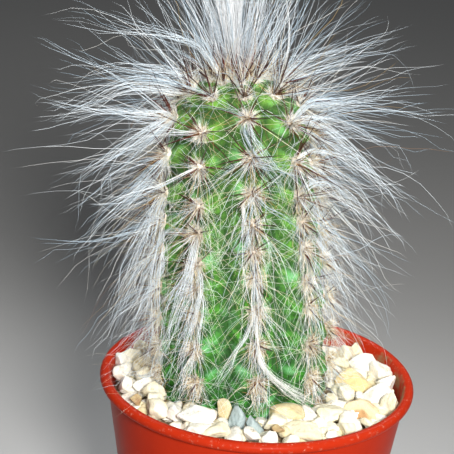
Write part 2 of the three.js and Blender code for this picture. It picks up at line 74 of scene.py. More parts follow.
# A material, with one method that adds any node to it.
class Finish:
    def __init__(self, name, **fixed):
        self.material = bpy.data.materials.new(name)
        self.material.use_nodes = True
        self.tree = self.material.node_tree
        self.shader = self.tree.nodes["Principled BSDF"]
        for word, value in fixed.items():
            self.feed(word, value)

    def join(self, socket, value):
        if isinstance(value, Wire):
            self.tree.links.new(value.socket, socket)
        else:
            socket.default_value = value

    # Settings go in first, such as an operation or a ramp's stops, then the sockets' values or links.
    def add(self, kind, settings, sockets, out=0):
        node = self.tree.nodes.new("ShaderNode" + kind)
        for name, value in settings.items():
            if name == "stops":
                stops = node.color_ramp.elements
                while len(stops) < len(value):
                    stops.new(1.0)
                for stop, (place, colour) in zip(stops, value):
                    stop.position = place
                    stop.color = (*colour, 1.0)
            else:
                setattr(node, name, value)
        for name, value in sockets.items():
            self.join(node.inputs[name], value)
        return Wire(self, node.outputs[out])

    # Feeds a socket of the main shader, named in camel case: baseColor is Base Color.
    def feed(self, word, value):
        spaced = "".join(" " + letter if letter.isupper() else letter for letter in word)
        self.join(self.shader.inputs[spaced.title().replace("Ior", "IOR")], value)

    def place(self):
        return self.add("TexCoord", {}, {}, "Object")

    def axes(self):
        node = self.add("SeparateXYZ", {}, {"Vector": self.place()}).socket.node
        return [Wire(self, node.outputs[letter]) for letter in "XYZ"]

    def mark(self, name):
        return self.add("Attribute", {"attribute_name": name}, {}, "Fac")

    def noise(self, perMetre, detail, roughness=0.5):
        sockets = {"Vector": self.place(), "Scale": perMetre, "Detail": detail, "Roughness": roughness}
        return self.add("TexNoise", {}, sockets)

    # Turns a value into 0 below low and 1 above high, with soft ends.
    def between(self, value, low, high):
        sockets = {"Value": value, "From Min": low, "From Max": high}
        return self.add("MapRange", {"interpolation_type": "SMOOTHSTEP"}, sockets)

    # Noise cut into spots with soft edges.
    def spots(self, perMetre, detail, roughness, low, high):
        return self.between(self.noise(perMetre, detail, roughness), low, high)

    def blend(self, share, first, second):
        colours = [c if isinstance(c, Wire) else (*c, 1.0) for c in (first, second)]
        return self.add("Mix", {"data_type": "RGBA"}, {0: share, 6: colours[0], 7: colours[1]}, 2)

    def ramp(self, value, stops):
        return self.add("ValToRGB", {"stops": stops}, {"Fac": value})

    def bump(self, height, strength, reach, under=None):
        sockets = {"Height": height, "Strength": strength, "Distance": reach * millimetre}
        if under:
            sockets["Normal"] = under
        return self.add("Bump", {}, sockets)


def unit(vectors):
    return vectors / np.maximum(np.linalg.norm(vectors, axis=-1, keepdims=True), 1e-9)


# Makes an object from points in millimetres. Marks are values at the points that its material reads,
# and flat gives a place on the flat map for every point, or for every corner of a face.
def makePiece(name, points, quads, triangles, finish, marks=None, flat=None):
    mesh = bpy.data.meshes.new(name)
    quads = np.asarray(quads, int).reshape(-1, 4)
    triangles = np.asarray(triangles, int).reshape(-1, 3)
    corners = np.concatenate([quads.ravel(), triangles.ravel()])
    starts = np.concatenate([np.arange(len(quads)) * 4, len(quads) * 4 + np.arange(len(triangles)) * 3])
    mesh.vertices.add(len(points))
    mesh.vertices.foreach_set("co", (np.asarray(points) * millimetre).astype(np.float32).ravel())
    mesh.loops.add(len(corners))
    mesh.loops.foreach_set("vertex_index", corners.astype(np.int32))
    mesh.polygons.add(len(starts))
    mesh.polygons.foreach_set("loop_start", starts.astype(np.int32))
    mesh.update(calc_edges=True)
    mesh.shade_smooth()
    for mark, values in (marks or {}).items():
        layer = mesh.attributes.new(mark, "FLOAT", "POINT")
        layer.data.foreach_set("value", np.asarray(values, np.float32))
    if flat is not None:
        layer = mesh.uv_layers.new(name="OFBake")
        places = flat[corners] if len(flat) == len(points) else flat
        layer.data.foreach_set("uv", places.astype(np.float32).ravel())
    mesh.materials.append(finish.material)
    piece = bpy.data.objects.new(name, mesh)
    bpy.context.scene.collection.objects.link(piece)
    return piece


# Puts a finished piece on the plant's one body and hides the nodes that it stands for. Slot is not used.
def settle(piece, slot, *nodes):
    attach(piece, "root")
    if nodes:
        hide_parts(*nodes)


view = {
    "place": (-12.3, -452.6, 298.5), "pitch": 19.915, "roll": 3.367, "lens": 123.62, "sensor": 36.0,
    "nearest": 0.01,
}


def setCamera():
    lens = bpy.data.cameras.new("camera")
    lens.lens = view["lens"]
    lens.sensor_width = view["sensor"]
    lens.clip_start = view["nearest"]
    camera = bpy.data.objects.new("camera", lens)
    camera.matrix_world = (
        Matrix.Translation([n * millimetre for n in view["place"]])
        @ Matrix.Rotation(math.radians(90 - view["pitch"]), 4, "X")
        @ Matrix.Rotation(math.radians(view["roll"]), 4, "Z")
    )
    bpy.context.scene.collection.objects.link(camera)
    bpy.context.scene.camera = camera


setCamera()
print("camera set")


pot = {
    "rimRadius": 50.0, "height": 86.0, "footRadius": 35.0, "footBevel": 1.0, "wall": 1.4, "floor": 2.0,
    "beadRadius": 1.7, "beadOverhang": 0.7, "drainHoles": 4, "drainRadius": 4.0, "drainCircle": 18.0,
    "colour": (0.43, 0.028, 0.007), "deepColour": (0.30, 0.015, 0.004), "stain": (0.26, 0.14, 0.07),
    "lime": (0.72, 0.50, 0.36), "roughness": 0.34,
    # metres over which each mark fades in: dirt by height and to the right, and lime below the rim
    "dirtHeights": (0.070, 0.074), "dirtRight": (0.018, 0.046), "limeHeights": (0.0822, 0.0845),
}
wallTop = pot["height"] - 2 * pot["beadRadius"]


def outerWall(height):
    top = pot["rimRadius"] - pot["beadRadius"] - pot["beadOverhang"]
    share = (height - pot["footBevel"]) / (wallTop - pot["footBevel"])
    return pot["footRadius"] + (top - pot["footRadius"]) * share


def innerWall(height):
    return outerWall(height) - pot["wall"]


# Faces between rings of points, then fans to two end points that follow the rings in the list.
def sleeveFaces(levels, count):
    here = np.arange(count)
    after = (here + 1) % count
    starts = np.arange(levels - 1)[:, None, None] * count
    quads = starts + np.stack([here, after, after + count, here + count], 1)
    foot, last = levels * count, (levels - 1) * count
    triangles = np.concatenate([
        np.stack([np.full(count, foot), after, here], 1),
        np.stack([np.full(count, foot + 1), last + here, last + after], 1),
    ])
    return quads.reshape(-1, 4), triangles


# A solid that a profile of radii and heights sweeps about the Z axis, from the middle out and back.
def turnedShape(profile, sides):
    turns = np.arange(sides) * fullTurn / sides
    rings = [np.stack([r * np.cos(turns), r * np.sin(turns), np.full(sides, z)], 1) for r, z in profile[1:-1]]
    points = np.concatenate(rings + [[(0, 0, profile[0][1]), (0, 0, profile[-1][1])]])
    return points, *sleeveFaces(len(rings), sides)


def redPlastic():
    finish = Finish("redPlastic", specularIorLevel=0.03)
    x, y, height = finish.axes()
    radius = finish.add("Math", {"operation": "SQRT"}, {0: x * x + y * y})
    # dirt on the inside, from the middle of the wall's thickness inwards
    slope = outerWall(1) - outerWall(0)
    middle = (outerWall(0) - pot["wall"] / 2) * millimetre
    inside = finish.between(height * slope + middle - radius, -0.0001, 0.0003)
    inside = inside * finish.between(height, *pot["dirtHeights"])
    toRight = 0.12 + 0.85 * finish.between(x, *pot["dirtRight"])
    dirt = inside * finish.spots(170.0, 6.0, 0.65, 0.44, 0.62) * toRight
    scuff = finish.spots(900.0, 5.0, 0.7, 0.66, 0.74)
    lime = finish.between(height, *pot["limeHeights"]) * finish.spots(700.0, 6.0, 0.75, 0.56, 0.70)
    colour = finish.blend(finish.noise(60.0, 4.0, 0.6), pot["deepColour"], pot["colour"])
    colour = finish.blend(scuff * 0.10, colour, pot["lime"])
    colour = finish.blend(lime * 0.38, colour, pot["lime"])
    finish.feed("baseColor", finish.blend(dirt, colour, pot["stain"]))
    finish.feed("roughness", dirt * 0.4 + scuff * 0.15 + lime * 0.25 + pot["roughness"])
    finish.feed("normal", finish.bump(finish.noise(260.0, 4.0), 0.10, 0.12))
    return finish


def makePot():
    finish = redPlastic()
    edge, bead = pot["footRadius"], pot["beadRadius"]
    profile = [(0, 0), (edge - pot["footBevel"], 0), (edge - 0.3, 0.3), (edge, pot["footBevel"])]
    profile += [(outerWall(z), z) for z in np.linspace(pot["footBevel"], wallTop, 30)[1:]]
    for turn in np.radians(np.linspace(-80, 150, 15)):
        radius = pot["rimRadius"] - bead + bead * math.cos(turn)
        profile.append((radius, pot["height"] - bead + bead * math.sin(turn)))
    profile += [(innerWall(z), z) for z in np.linspace(wallTop, pot["floor"], 12)]
    profile.append((0, pot["floor"]))
    piece = makePiece("potShell", *turnedShape(profile, 160), finish)
    for hole in range(pot["drainHoles"]):
        turn = fullTurn * hole / pot["drainHoles"]
        x, y = pot["drainCircle"] * math.cos(turn), pot["drainCircle"] * math.sin(turn)
        bore = [(0, -4), (pot["drainRadius"], -4), (pot["drainRadius"], 6), (0, 6)]  # well past both faces
        points, quads, triangles = turnedShape(bore, 40)
        drill = makePiece("drill", points + [x, y, 0], quads, triangles, finish)
        cut = piece.modifiers.new("cut", "BOOLEAN")
        cut.object = drill
        cut.solver = "EXACT"
        cut.operation = "DIFFERENCE"
        solid = piece.evaluated_get(bpy.context.evaluated_depsgraph_get())
        mesh = bpy.data.meshes.new_from_object(solid)
        piece.modifiers.clear()
        piece.data = mesh
        bpy.data.objects.remove(drill)
    piece.data.shade_smooth()
    piece.data.set_sharp_from_angle(angle=math.radians(35))
    return piece


settle(makePot(), "pot", "pot")
print("pot made")


soil = {"dark": (0.030, 0.017, 0.010), "light": (0.16, 0.10, 0.06)}


def dampSoil():
    finish = Finish("soil", roughness=0.95)
    crumb = finish.noise(700.0, 8.0, 0.75)
    finish.feed("baseColor", finish.ramp(crumb, [(0.35, soil["dark"]), (0.7, soil["light"])]))
    finish.feed("normal", finish.bump(crumb, 0.9, 1.2))
    return finish


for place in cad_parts["soil"].material_slots:
    place.material = dampSoil().material
print("soil finished")


plant = {
    "foot": (-4.6, 0.0, 80.0), "lean": 4.3, "radius": 26.95, "shoulder": 79.7, "taper": 0.202, "top": 102.8,
    "domePower": 2.3, "buried": 14.0, "ribs": 9, "firstRib": -78.8, "valleyDepth": 0.150, "valleyPower": 2.2,
    "wind": 1.9, "windSeed": 3, "lowestAreole": 11.5, "pitch": 10.3, "sideAreoles": 7,
    "domeAngles": (10, 35, 56, 73),
    # how deep or high each form of the skin is, and how much more so on the young dome
    "dent": (1.1, 1.87), "fold": (1.0, 0.6), "chin": (0.8, 0.7), "flank": (0.5, 0.3), "lumps": 0.30,
    "youngFrom": 0.70,
    # how the buried stub narrows: heights, and shares of the radius at them
    "stubHeights": (-14, -13.2, -9.8, 0), "stubShares": (0, 0.6, 0.87, 1),
}
ribStep = 360 / plant["ribs"]
foot = np.array(plant["foot"])
leaning = np.array(Matrix.Rotation(-math.radians(plant["lean"]), 3, "Y"))
stemAxis = leaning @ np.array([0, 0, 1.0])
domeHeight = plant["top"] - plant["shoulder"]


def domeLevels(degrees):
    return plant["shoulder"] + domeHeight * np.sin(np.radians(degrees)) ** (2 / plant["domePower"])


evenHeights = plant["lowestAreole"] + plant["pitch"] * np.arange(plant["sideAreoles"])
evenHeights = np.append(evenHeights, domeLevels(plant["domeAngles"]))
areoleCount = len(evenHeights)

# How far each rib's areoles sit above the even rows, from its lowest areole to its highest.
ribShifts = [
    (3.4, 5.0, 5.6, 5.6, 3.2, 0.9, 0.0, -1.0, 0.4, 0.0, 0.0),
    (0.5, 1.2, 3.0, 1.0, 1.0, -1.3, -3.9, -4.7, -2.8, -0.6, 0.0),
    (-2.5, -1.5, -0.5, 1.0, 2.2, 2.8, 1.5, 0.0, -0.8, 0.2, 0.0),
    (3.0, 3.6, 4.0, 3.0, 2.0, 1.0, -1.0, -2.5, -1.8, -0.4, 0.0),
    (-2.0, -2.6, -1.5, 0.0, 1.5, 2.5, 2.6, 1.2, 0.2, 0.0, 0.0),
    (2.5, 3.0, 2.6, 1.4, 0.0, -1.6, -3.0, -3.2, -1.5, -0.3, 0.0),
    (-1.0, 0.4, 1.6, 2.8, 3.4, 2.6, 1.4, 0.2, 0.0, 0.0, 0.0),
    (0.0, -1.8, -3.0, -3.4, -1.6, -2.6, -4.2, -3.6, -2.2, -0.4, 0.0),
    (2.3, 3.5, 3.4, 1.6, -1.3, -2.4, -4.4, -4.2, -3.6, -0.3, 0.0),
]
areoleHeights = evenHeights + np.array(ribShifts)


def toWorld(points):
    return points @ leaning.T + foot


def toPlant(points):
    return (points - foot) @ leaning


def crestRadius(height):
    side = plant["radius"] * (1 - plant["taper"] * np.clip(height / plant["shoulder"], 0, 1) ** 2)
    over = np.clip((height - plant["shoulder"]) / domeHeight, 0, 1)
    dome = (1 - over ** plant["domePower"]) ** (1 / plant["domePower"])
    stub = np.interp(height, plant["stubHeights"], plant["stubShares"])
    return np.where(height < 0, plant["radius"] * stub, side * dome)


# Where the valley after a rib lies, as a share of the step from that rib to the next. Valleys wind
# a little from side to side, because neighbouring ribs bulge at different heights.
valleyPhases = np.random.default_rng(plant["windSeed"]).uniform(0, fullTurn, (2, plant["ribs"]))


def valleyAfter(rib, height):
    first, second = valleyPhases[:, rib.astype(int) % plant["ribs"]]
    wind = np.sin(fullTurn * height / plant["pitch"] + first)
    wind = wind + 0.6 * np.sin(fullTurn * height / 27 + second)
    return 0.5 + wind * np.clip(height / 6, 0, 1) * plant["wind"] / ribStep


# The rib at this turn, and the place across it: -1 and 1 are its valleys and 0 its crest.
def acrossRib(height, turn):
    steps = (turn - plant["firstRib"]) / ribStep
    rib = np.floor(steps + 0.5)
    part = steps - rib
    after = valleyAfter(rib, height)
    before = valleyAfter(rib - 1, height) - 1
    across = np.where(part > 0, part / after, -part / before)
    across = np.where(part > after, (part - 1) / (1 - after), across)
    across = np.where(part < before, (part + 1) / (1 + before), across)
    rib = rib + (part > after) - (part < before)
    return rib % plant["ribs"], np.clip(across, -1, 1)


# Counts areoles upwards along the rib at this turn: 0 at its lowest one.
far = 1000.0  # keeps the ribs apart in one long table
rowHeights = np.column_stack([
    np.full(plant["ribs"], -300.0), areoleHeights[:, 0] - plant["pitch"], areoleHeights,
])
rowHeights = (rowHeights + far * np.arange(plant["ribs"])[:, None]).ravel()
rowNumbers = np.tile([-1, *range(-1, areoleCount)], plant["ribs"])


def rowAt(height, rib):
    return np.interp(np.clip(height, -50, 120) + far * rib, rowHeights, rowNumbers)


def skinRadius(height, turn):
    crest = crestRadius(height)
    rib, across = acrossRib(height, turn)
    across = np.abs(across)
    inner = 1 - across
    row = rowAt(height, rib)
    part = row % 1
    # each form is 1 where it is highest or -1 where it is deepest
    beside = np.clip(1 - np.abs(across - 0.55) / 0.45, 0, 1)
    forms = {
        "dent": -(0.5 - 0.5 * np.cos(fullTurn * row)) ** 1.6 * inner ** 0.8,
        "fold": -np.exp(-((part - 0.26 - 0.30 * across) / 0.10) ** 2) * inner ** 0.7,
        "chin": np.exp(-((part - 0.84) / 0.13) ** 2) * np.clip(1 - across * 1.4, 0, 1),
        "flank": np.cos(fullTurn * (row - 0.12 - 0.3 * across)) * beside,
    }
    young = np.clip((height / plant["shoulder"] - plant["youngFrom"]) / (1 - plant["youngFrom"]), 0, 1)
    swell = sum((plant[name][0] + plant[name][1] * young) * form for name, form in forms.items())
    # small lumps, as waves up and round the stem
    angle = np.radians(turn)
    lumps = np.sin(height * 1.27 + 3 * np.sin(angle * 4)) * np.sin(angle * 17 + 2.2 * np.sin(height * 0.31))
    lumps = lumps + 0.7 * np.sin(height * 0.83 - angle * 23) * np.sin(angle * 31 + height * 0.57)
    share = np.where(height > 0, crest / plant["radius"], 0)
    bottom = np.exp(-(inner / 0.13) ** 2)
    hollow = plant["valleyDepth"] * (across ** plant["valleyPower"] - 0.08 * bottom)
    return crest * (1 - hollow) + share * (swell + plant["lumps"] * lumps)


def skinPoint(height, turn):
    radius = skinRadius(height, turn)
    angle = np.radians(turn)
    return toWorld(np.stack([radius * np.cos(angle), radius * np.sin(angle), height], -1))


stem = {
    "around": 24, "sideLevels": 140, "domeLevels": 44, "buriedLevels": (-13.9, -13.2, -12, -9.8, -6, -3),
    "young": (0.19, 0.44, 0.05), "green": (0.038, 0.31, 0.010), "deep": (0.006, 0.050, 0.006),
    "bloomAndSheen": (0.22, 0.66, 0.27), "dry": (0.20, 0.15, 0.05),
}


def greenSkin():
    finish = Finish("greenSkin")
    valley, age = finish.mark("valley"), finish.mark("age")
    patch = finish.spots(115.0, 4.0, 0.6, 0.50, 0.66)
    mottle = finish.noise(620.0, 7.0, 0.75)
    pores = finish.add("TexVoronoi", {}, {"Vector": finish.place(), "Scale": 1500.0})
    skin = finish.blend(age, stem["young"], stem["green"])
    skin = finish.blend(finish.between(mottle, 0.42, 0.60) * (age * 0.4 + 0.5), skin, stem["deep"])
    # pale patches, kept out of the valleys: partly the skin's waxy bloom, partly a painted sheen of
    # highlights
    skin = finish.blend(patch * (1 - valley) * (age * 0.35 + 0.45), skin, stem["bloomAndSheen"])
    # painted shade: the valleys and folds darkened towards the deep green
    skin = finish.blend(valley * 0.92, skin, stem["deep"])
    stale = finish.spots(240.0, 5.0, 0.7, 0.62, 0.74) * age
    finish.feed("baseColor", finish.blend(stale * 0.45, skin, stem["dry"]))
    finish.feed("roughness", mottle * 0.2 + patch * 0.15 + 0.30)
    finish.feed("normal", finish.bump(mottle, 1.0, 1.0, finish.bump(pores, 0.35, 0.10)))
    return finish


def makeStem():
    heights = np.concatenate([
        stem["buriedLevels"],
        np.linspace(0, plant["shoulder"], stem["sideLevels"]),
        domeLevels(np.linspace(2, 88, stem["domeLevels"])),
    ])
    turns = plant["firstRib"] + np.arange(plant["ribs"] * stem["around"]) * ribStep / stem["around"]
    levels, count = len(heights), len(turns)
    tall, wide = np.meshgrid(heights, turns, indexing="ij")
    ends = toWorld(np.array([[0, 0, -plant["buried"]], [0, 0, plant["top"]]]))
    points = np.concatenate([skinPoint(tall, wide).reshape(-1, 3), ends])
    quads, triangles = sleeveFaces(levels, count)
    # painted shade: dark where the skin lies below the ribs' even surface, in the valleys and in the folds
    across = np.abs(acrossRib(tall, wide)[1])
    even = crestRadius(tall) * (1 - plant["valleyDepth"] * across ** plant["valleyPower"])
    sunk = np.clip((even - skinRadius(tall, wide)) / 1.2, 0, 1)
    valley = np.clip(0.95 * ((across - 0.45) / 0.55).clip(0, 1) ** 1.8 + sunk * 0.8, 0, 1).ravel()
    age = np.clip(1.15 - tall.ravel() / plant["shoulder"], 0, 1)
    marks = {"valley": np.append(valley, [0, 0]), "age": np.append(age, [1, 0])}
    # the flat map unrolls the stem: once round it across, and its height up
    columns = np.tile(np.arange(count), levels) / count
    rows = (tall.ravel() - heights[0] + 0.5) / (plant["top"] - heights[0] + 1)
    perPoint = np.append(np.stack([columns, rows], 1), [[0.5, 0], [0.5, 1]], 0)
    flat = perPoint[np.concatenate([quads.ravel(), triangles.ravel()])]
    whole = np.ones(count, bool)
    within = np.arange(count) < count - 1  # False where a face closes the ring
    seam = np.concatenate([
        np.tile(np.stack([whole, within, within, whole], 1), (levels - 1, 1)).ravel(),
        np.stack([whole, within, whole], 1).ravel(),
        np.stack([whole, whole, within], 1).ravel(),
    ])
    flat[:, 0] = np.where(seam, flat[:, 0], 1.0)
    return makePiece("stemSkin", points, quads, triangles, greenSkin(), marks, flat)


settle(makeStem(), "stem", "stem")
print("stem made")


stones = {
    "seed": 11, "tries": 9000, "largest": 5.8, "smallest": 2.5, "crowding": 0.62, "swell": 1.18,
    "fillSeed": 5, "fill": 190, "fillSizes": (1.8, 3.2), "bedTop": 79.3, "bedRise": 4.0, "bedSlope": 0.055,
    "bedReach": 45.2, "bedFloor": 74.4, "potReach": 45.6, "highest": 86.8,
    "white": 0.08, "cream": 0.35, "yellow": 0.72, "tan": 0.88, "brown": 1.0,
    # shades of the strewn stones and the share of each, and shades of the small stones under them
    "shades": (0.03, 0.12, 0.25, 0.40, 0.62, 0.82), "shares": (0.26, 0.24, 0.22, 0.16, 0.09, 0.03),
    "fillShades": (0.05, 0.2, 0.35, 0.60),
}

# The clearest stones: shade, place, half sizes, and their turn about Z.
placedStones = [
    ("cream", (-41.3, 10.8, 83.5), (3.9, 3.3, 2.9), 20), ("white", (-42.6, -1.1, 84), (3.2, 2.7, 2.9), 70),
    ("white", (-40.8, -11.6, 84.5), (2.8, 3.6, 3.3), 15), ("tan", (-37.0, -21.9, 84.5), (1.7, 1.4, 1.8), 0),
    ("white", (-35.6, -12.3, 84.5), (3.0, 2.9, 2.5), 40), ("cream", (-30.6, -29.4, 85), (3.6, 3.1, 3.0), 0),
    ("cream", (-31.2, -17.0, 85), (3.4, 2.9, 3.3), 55), ("white", (-24.9, -31.0, 85), (2.1, 2.3, 3.3), 10),
    ("white", (-17.1, -32.4, 86), (5.7, 4.4, 2.6), -8), ("white", (-18.1, -39.2, 85), (5.1, 3.3, 1.6), 12),
    ("cream", (-12.4, -39.4, 84.5), (4.1, 3.9, 2.3), 4), ("yellow", (-9.9, -29.0, 85.4), (2.9, 2.0, 3.9), 0),
    ("yellow", (-38.6, 19.0, 83), (2.4, 2.1, 2.3), 0), ("cream", (-36.6, 3.8, 83.5), (2.9, 2.5, 2.6), 30),
    ("cream", (27.4, 16.8, 83), (3.0, 2.6, 2.3), 0), ("cream", (29.8, 25.4, 82.5), (3.2, 2.8, 3.5), 60),
    ("cream", (34.0, 27.6, 82.5), (2.7, 2.5, 2.8), 20), ("white", (35.5, 15.8, 83), (4.3, 3.7, 2.8), 10),
    ("white", (40.2, 10.3, 83), (4.0, 3.6, 3.2), 80), ("white", (37.4, -6.2, 83.4), (4.8, 3.9, 3.6), 15),
    ("white", (41.6, 1.6, 83.3), (3.2, 3.0, 3.1), 60), ("cream", (42.1, -13.8, 83.6), (3.4, 3.3, 3.7), 20),
    ("cream", (-34.6, -6.0, 86.0), (3.4, 2.8, 2.6), 35),
    ("yellow", (-36.0, 2.6, 85.6), (3.0, 2.6, 2.3), 15), ("cream", (-31.2, -23.6, 86.0), (3.0, 2.8, 2.5), 65),
    ("white", (-43.6, 5.6, 84.4), (2.6, 2.9, 2.5), 0),
    ("cream", (28.0, -9.6, 84.5), (2.4, 2.2, 2.4), 0), ("cream", (23.6, -13.6, 84.5), (2.5, 2.4, 2.6), 45),
    ("cream", (21.9, -24.2, 84.8), (5.2, 4.0, 2.4), -12), ("cream", (27.5, -33.2, 84.8), (2.9, 2.5, 2.5), 0),
    ("white", (22.4, -38.2, 84.8), (2.6, 2.2, 1.7), 30), ("cream", (13.9, -36.0, 84.9), (6.0, 4.4, 3.1), -5),
    ("yellow", (9.6, -27.2, 85.2), (4.9, 3.4, 2.6), 8), ("cream", (5.3, -32.4, 85.2), (3.9, 3.0, 2.2), 35),
    ("brown", (6.6, -37.6, 85.3), (1.9, 1.6, 1.3), 0), ("white", (4.1, -42.2, 84.9), (2.8, 2.6, 2.1), 15),
    ("white", (-1.4, -41.6, 84.9), (2.8, 2.5, 2.2), -20),
    ("cream", (34.4, -29.3, 84.4), (3.4, 1.3, 1.5), -48),
]

# Stones of their own: node, piece, place, half sizes, turn, and the seed of their facets.
ownStones = [
    ("slate_stone_left", "slateStoneLeft", (-5.9, -33.3, 84.6), (2.9, 2.9, 5.7), (0.1, -0.12, 0.2), 21),
    ("slate_stone_right", "slateStoneRight", (-0.6, -34.6, 83.7), (2.5, 2.7, 4.7), (0.15, -0.4, -0.1), 22),
    ("ochre_stone", "ochreStone", (30.6, 1.2, 83.4), (6.6, 5.2, 3.4), (0.5, 0.15, 0.35), 23),
    ("stained_stone", "stainedStone", (32.4, -19.4, 82.8), (6.4, 4.6, 3.0), (0.3, 0.1, 0.5), 24),
]


def bedHeight(x, y):
    reach = np.hypot(x, y) / innerWall(74)
    return stones["bedTop"] + stones["bedRise"] * (1 - reach) - stones["bedSlope"] * y


ballStore = {}


def ball(detail):
    if detail not in ballStore:
        form = bmesh.new()
        bmesh.ops.create_icosphere(form, subdivisions=detail, radius=1.0)
        points = np.array([v.co[:] for v in form.verts])
        faces = np.array([[v.index for v in f.verts] for f in form.faces])
        form.free()
        ballStore[detail] = (points, faces)
    return ballStore[detail]


# A worn angular stone: a ball cut by flats whose edges are rounded, and pushed a little out of true.
def pebble(place, halves, turn, detail, random, flats=10, sharpness=26.0):
    heading, faces = ball(detail)
    normals = unit(random.normal(size=(flats, 3)))
    depths = random.uniform(0.52, 0.95, flats)
    push = np.clip(heading @ normals.T, 0, None) / depths
    radius = np.maximum((push ** sharpness).sum(1), 1e-9) ** (-1 / sharpness)
    radius = np.clip(radius, 0.5, 1.18)
    for size in (0.030, 0.024, 0.018, 0.012, 0.009, 0.007):
        wave = unit(random.normal(size=3)) * 0.10 / size
        radius = radius + size * np.sin(heading @ wave + random.uniform(0, 6))
    points = heading * radius[:, None]
    points = points / np.abs(points).max(0) * np.asarray(halves)
    return points @ np.array(Euler(turn).to_matrix()).T + np.asarray(place), faces, heading


# Gives each stone two round patches of the flat map, one for each half of it.
def stonePatches(shapes):
    side = math.ceil(math.sqrt(2 * len(shapes)))
    flats = []
    for index, (_, faces, heading) in enumerate(shapes):
        corner = heading[faces]
        half = np.where(corner.mean(1)[:, 2] > 0, 1.0, -1.0)
        cell = 2 * index + (half < 0)
        lean = np.arccos(np.clip(corner[:, :, 2] * half[:, None], -1, 1)) / (math.pi / 2)
        spread = unit(corner[:, :, :2]) * lean[:, :, None] * 0.39
        middle = np.stack([cell % side + 0.5, cell // side + 0.5], 1)
        flats.append(((middle[:, None, :] + spread) / side).reshape(-1, 2))
    return np.concatenate(flats)


def joinShapes(shapes):
    points = np.concatenate([shape[0] for shape in shapes])
    starts = np.cumsum([0] + [len(shape[0]) for shape in shapes[:-1]])
    faces = np.concatenate([shape[1] + start for shape, start in zip(shapes, starts)])
    return points, faces


# Each stone's material, colours from its lightest shade to its darkest, roughness and vein colour.
stoneLooks = {
    "gravel": ("paleGravel", [
        (0.0, (0.82, 0.80, 0.74)), (0.30, (0.78, 0.73, 0.57)), (0.60, (0.68, 0.61, 0.39)),
        (0.85, (0.50, 0.40, 0.21)), (1.0, (0.28, 0.16, 0.07)),
    ], 0.50, (0.46, 0.33, 0.16)),
    "slate": ("slate", [
        (0.0, (0.25, 0.33, 0.34)), (0.5, (0.37, 0.45, 0.45)), (1.0, (0.21, 0.27, 0.28)),
    ], 0.45, (0.50, 0.54, 0.54)),
    "ochre": ("ochre", [
        (0.0, (0.76, 0.64, 0.36)), (0.5, (0.68, 0.53, 0.25)), (1.0, (0.56, 0.40, 0.16)),
    ], 0.45, (0.85, 0.72, 0.45)),
    "stained": ("ironStain", [
        (0.0, (0.76, 0.68, 0.48)), (0.42, (0.70, 0.55, 0.32)), (0.60, (0.48, 0.27, 0.11)),
        (1.0, (0.30, 0.14, 0.05)),
    ], 0.50, (0.62, 0.42, 0.20)),
}


def stoneFinish(name, stops, roughness, vein):
    finish = Finish(name)
    grain = finish.noise(1300.0, 6.0, 0.7)
    cloud = finish.noise(210.0, 4.0, 0.6)
    crack = finish.spots(330.0, 7.0, 0.75, 0.60, 0.66)
    colour = finish.ramp(finish.mark("shade") + (cloud - 0.5) * 0.8, stops)
    colour = finish.blend(finish.between(grain, 0.45, 0.75) * 0.35, colour, vein)
    finish.feed("baseColor", finish.blend(crack * 0.70, colour, vein))
    finish.feed("roughness", grain * 0.25 + roughness)
    finish.feed("normal", finish.bump(grain, 0.7, 0.3, finish.bump(cloud, 0.8, 1.4)))
    return finish


stoneFinishes = {slot: stoneFinish(*look) for slot, look in stoneLooks.items()}


def fineGrit():
    finish = Finish("fineGrit", roughness=0.9)
    grit = finish.add("TexVoronoi", {}, {"Vector": finish.place(), "Scale": 750.0})
    finish.feed("baseColor", finish.ramp(grit, [(0.0, (0.62, 0.50, 0.32)), (0.7, (0.24, 0.16, 0.09))]))
    finish.feed("normal", finish.bump(grit, 0.9, 0.8))
    return finish


def strewnStones():
    random = np.random.default_rng(stones["seed"])
    taken = [(place[0], place[1], max(halves[:2]) * 0.92) for _, place, halves, _ in placedStones]
    taken += [(place[0], place[1], max(halves[:2])) for _, _, place, halves, _, _ in ownStones]
    found = []
    for tries in range(stones["tries"]):
        share = math.sqrt(tries / stones["tries"])
        reach = stones["largest"] + (stones["smallest"] - stones["largest"]) * share
        reach *= random.uniform(0.85, 1.1)
        x, y = random.uniform(-46, 46, 2)
        inPot = math.hypot(x, y) + 0.85 * reach < stones["potReach"]
        offStem = math.hypot(x - foot[0], y - foot[1]) > plant["radius"] + 0.6 + 0.8 * reach
        apart = all(math.hypot(x - a, y - b) > stones["crowding"] * (reach + c) for a, b, c in taken)
        if inPot and offStem and apart:
            taken.append((x, y, reach))
            halves = (reach, reach * random.uniform(0.62, 0.95), reach * random.uniform(0.45, 0.7))
            level = min(bedHeight(x, y) + 0.5 * halves[2] + 0.3, stones["highest"] - 0.6 * halves[2])
            shade = random.choice(stones["shades"], p=stones["shares"])
            found.append((shade, (x, y, level), halves, random.uniform(0, 360)))
    return found


# Small stones under the top ones, so that no gap shows the bare bed.
def underStones():
    random = np.random.default_rng(stones["fillSeed"])
    found = []
    for _ in range(stones["fill"]):
        turn, reach = random.uniform(0, fullTurn), 44.5 * math.sqrt(random.uniform(0.25, 1))
        x, y = reach * math.cos(turn), reach * math.sin(turn)
        if math.hypot(x - foot[0], y - foot[1]) > plant["radius"] + 1.5:
            size = random.uniform(*stones["fillSizes"])
            level = bedHeight(x, y) + random.uniform(0.8, 2.4)
            shade = random.choice(stones["fillShades"])
            found.append((shade, (x, y, level), (size, size * 0.8, size * 0.65), random.uniform(0, 360)))
    return found


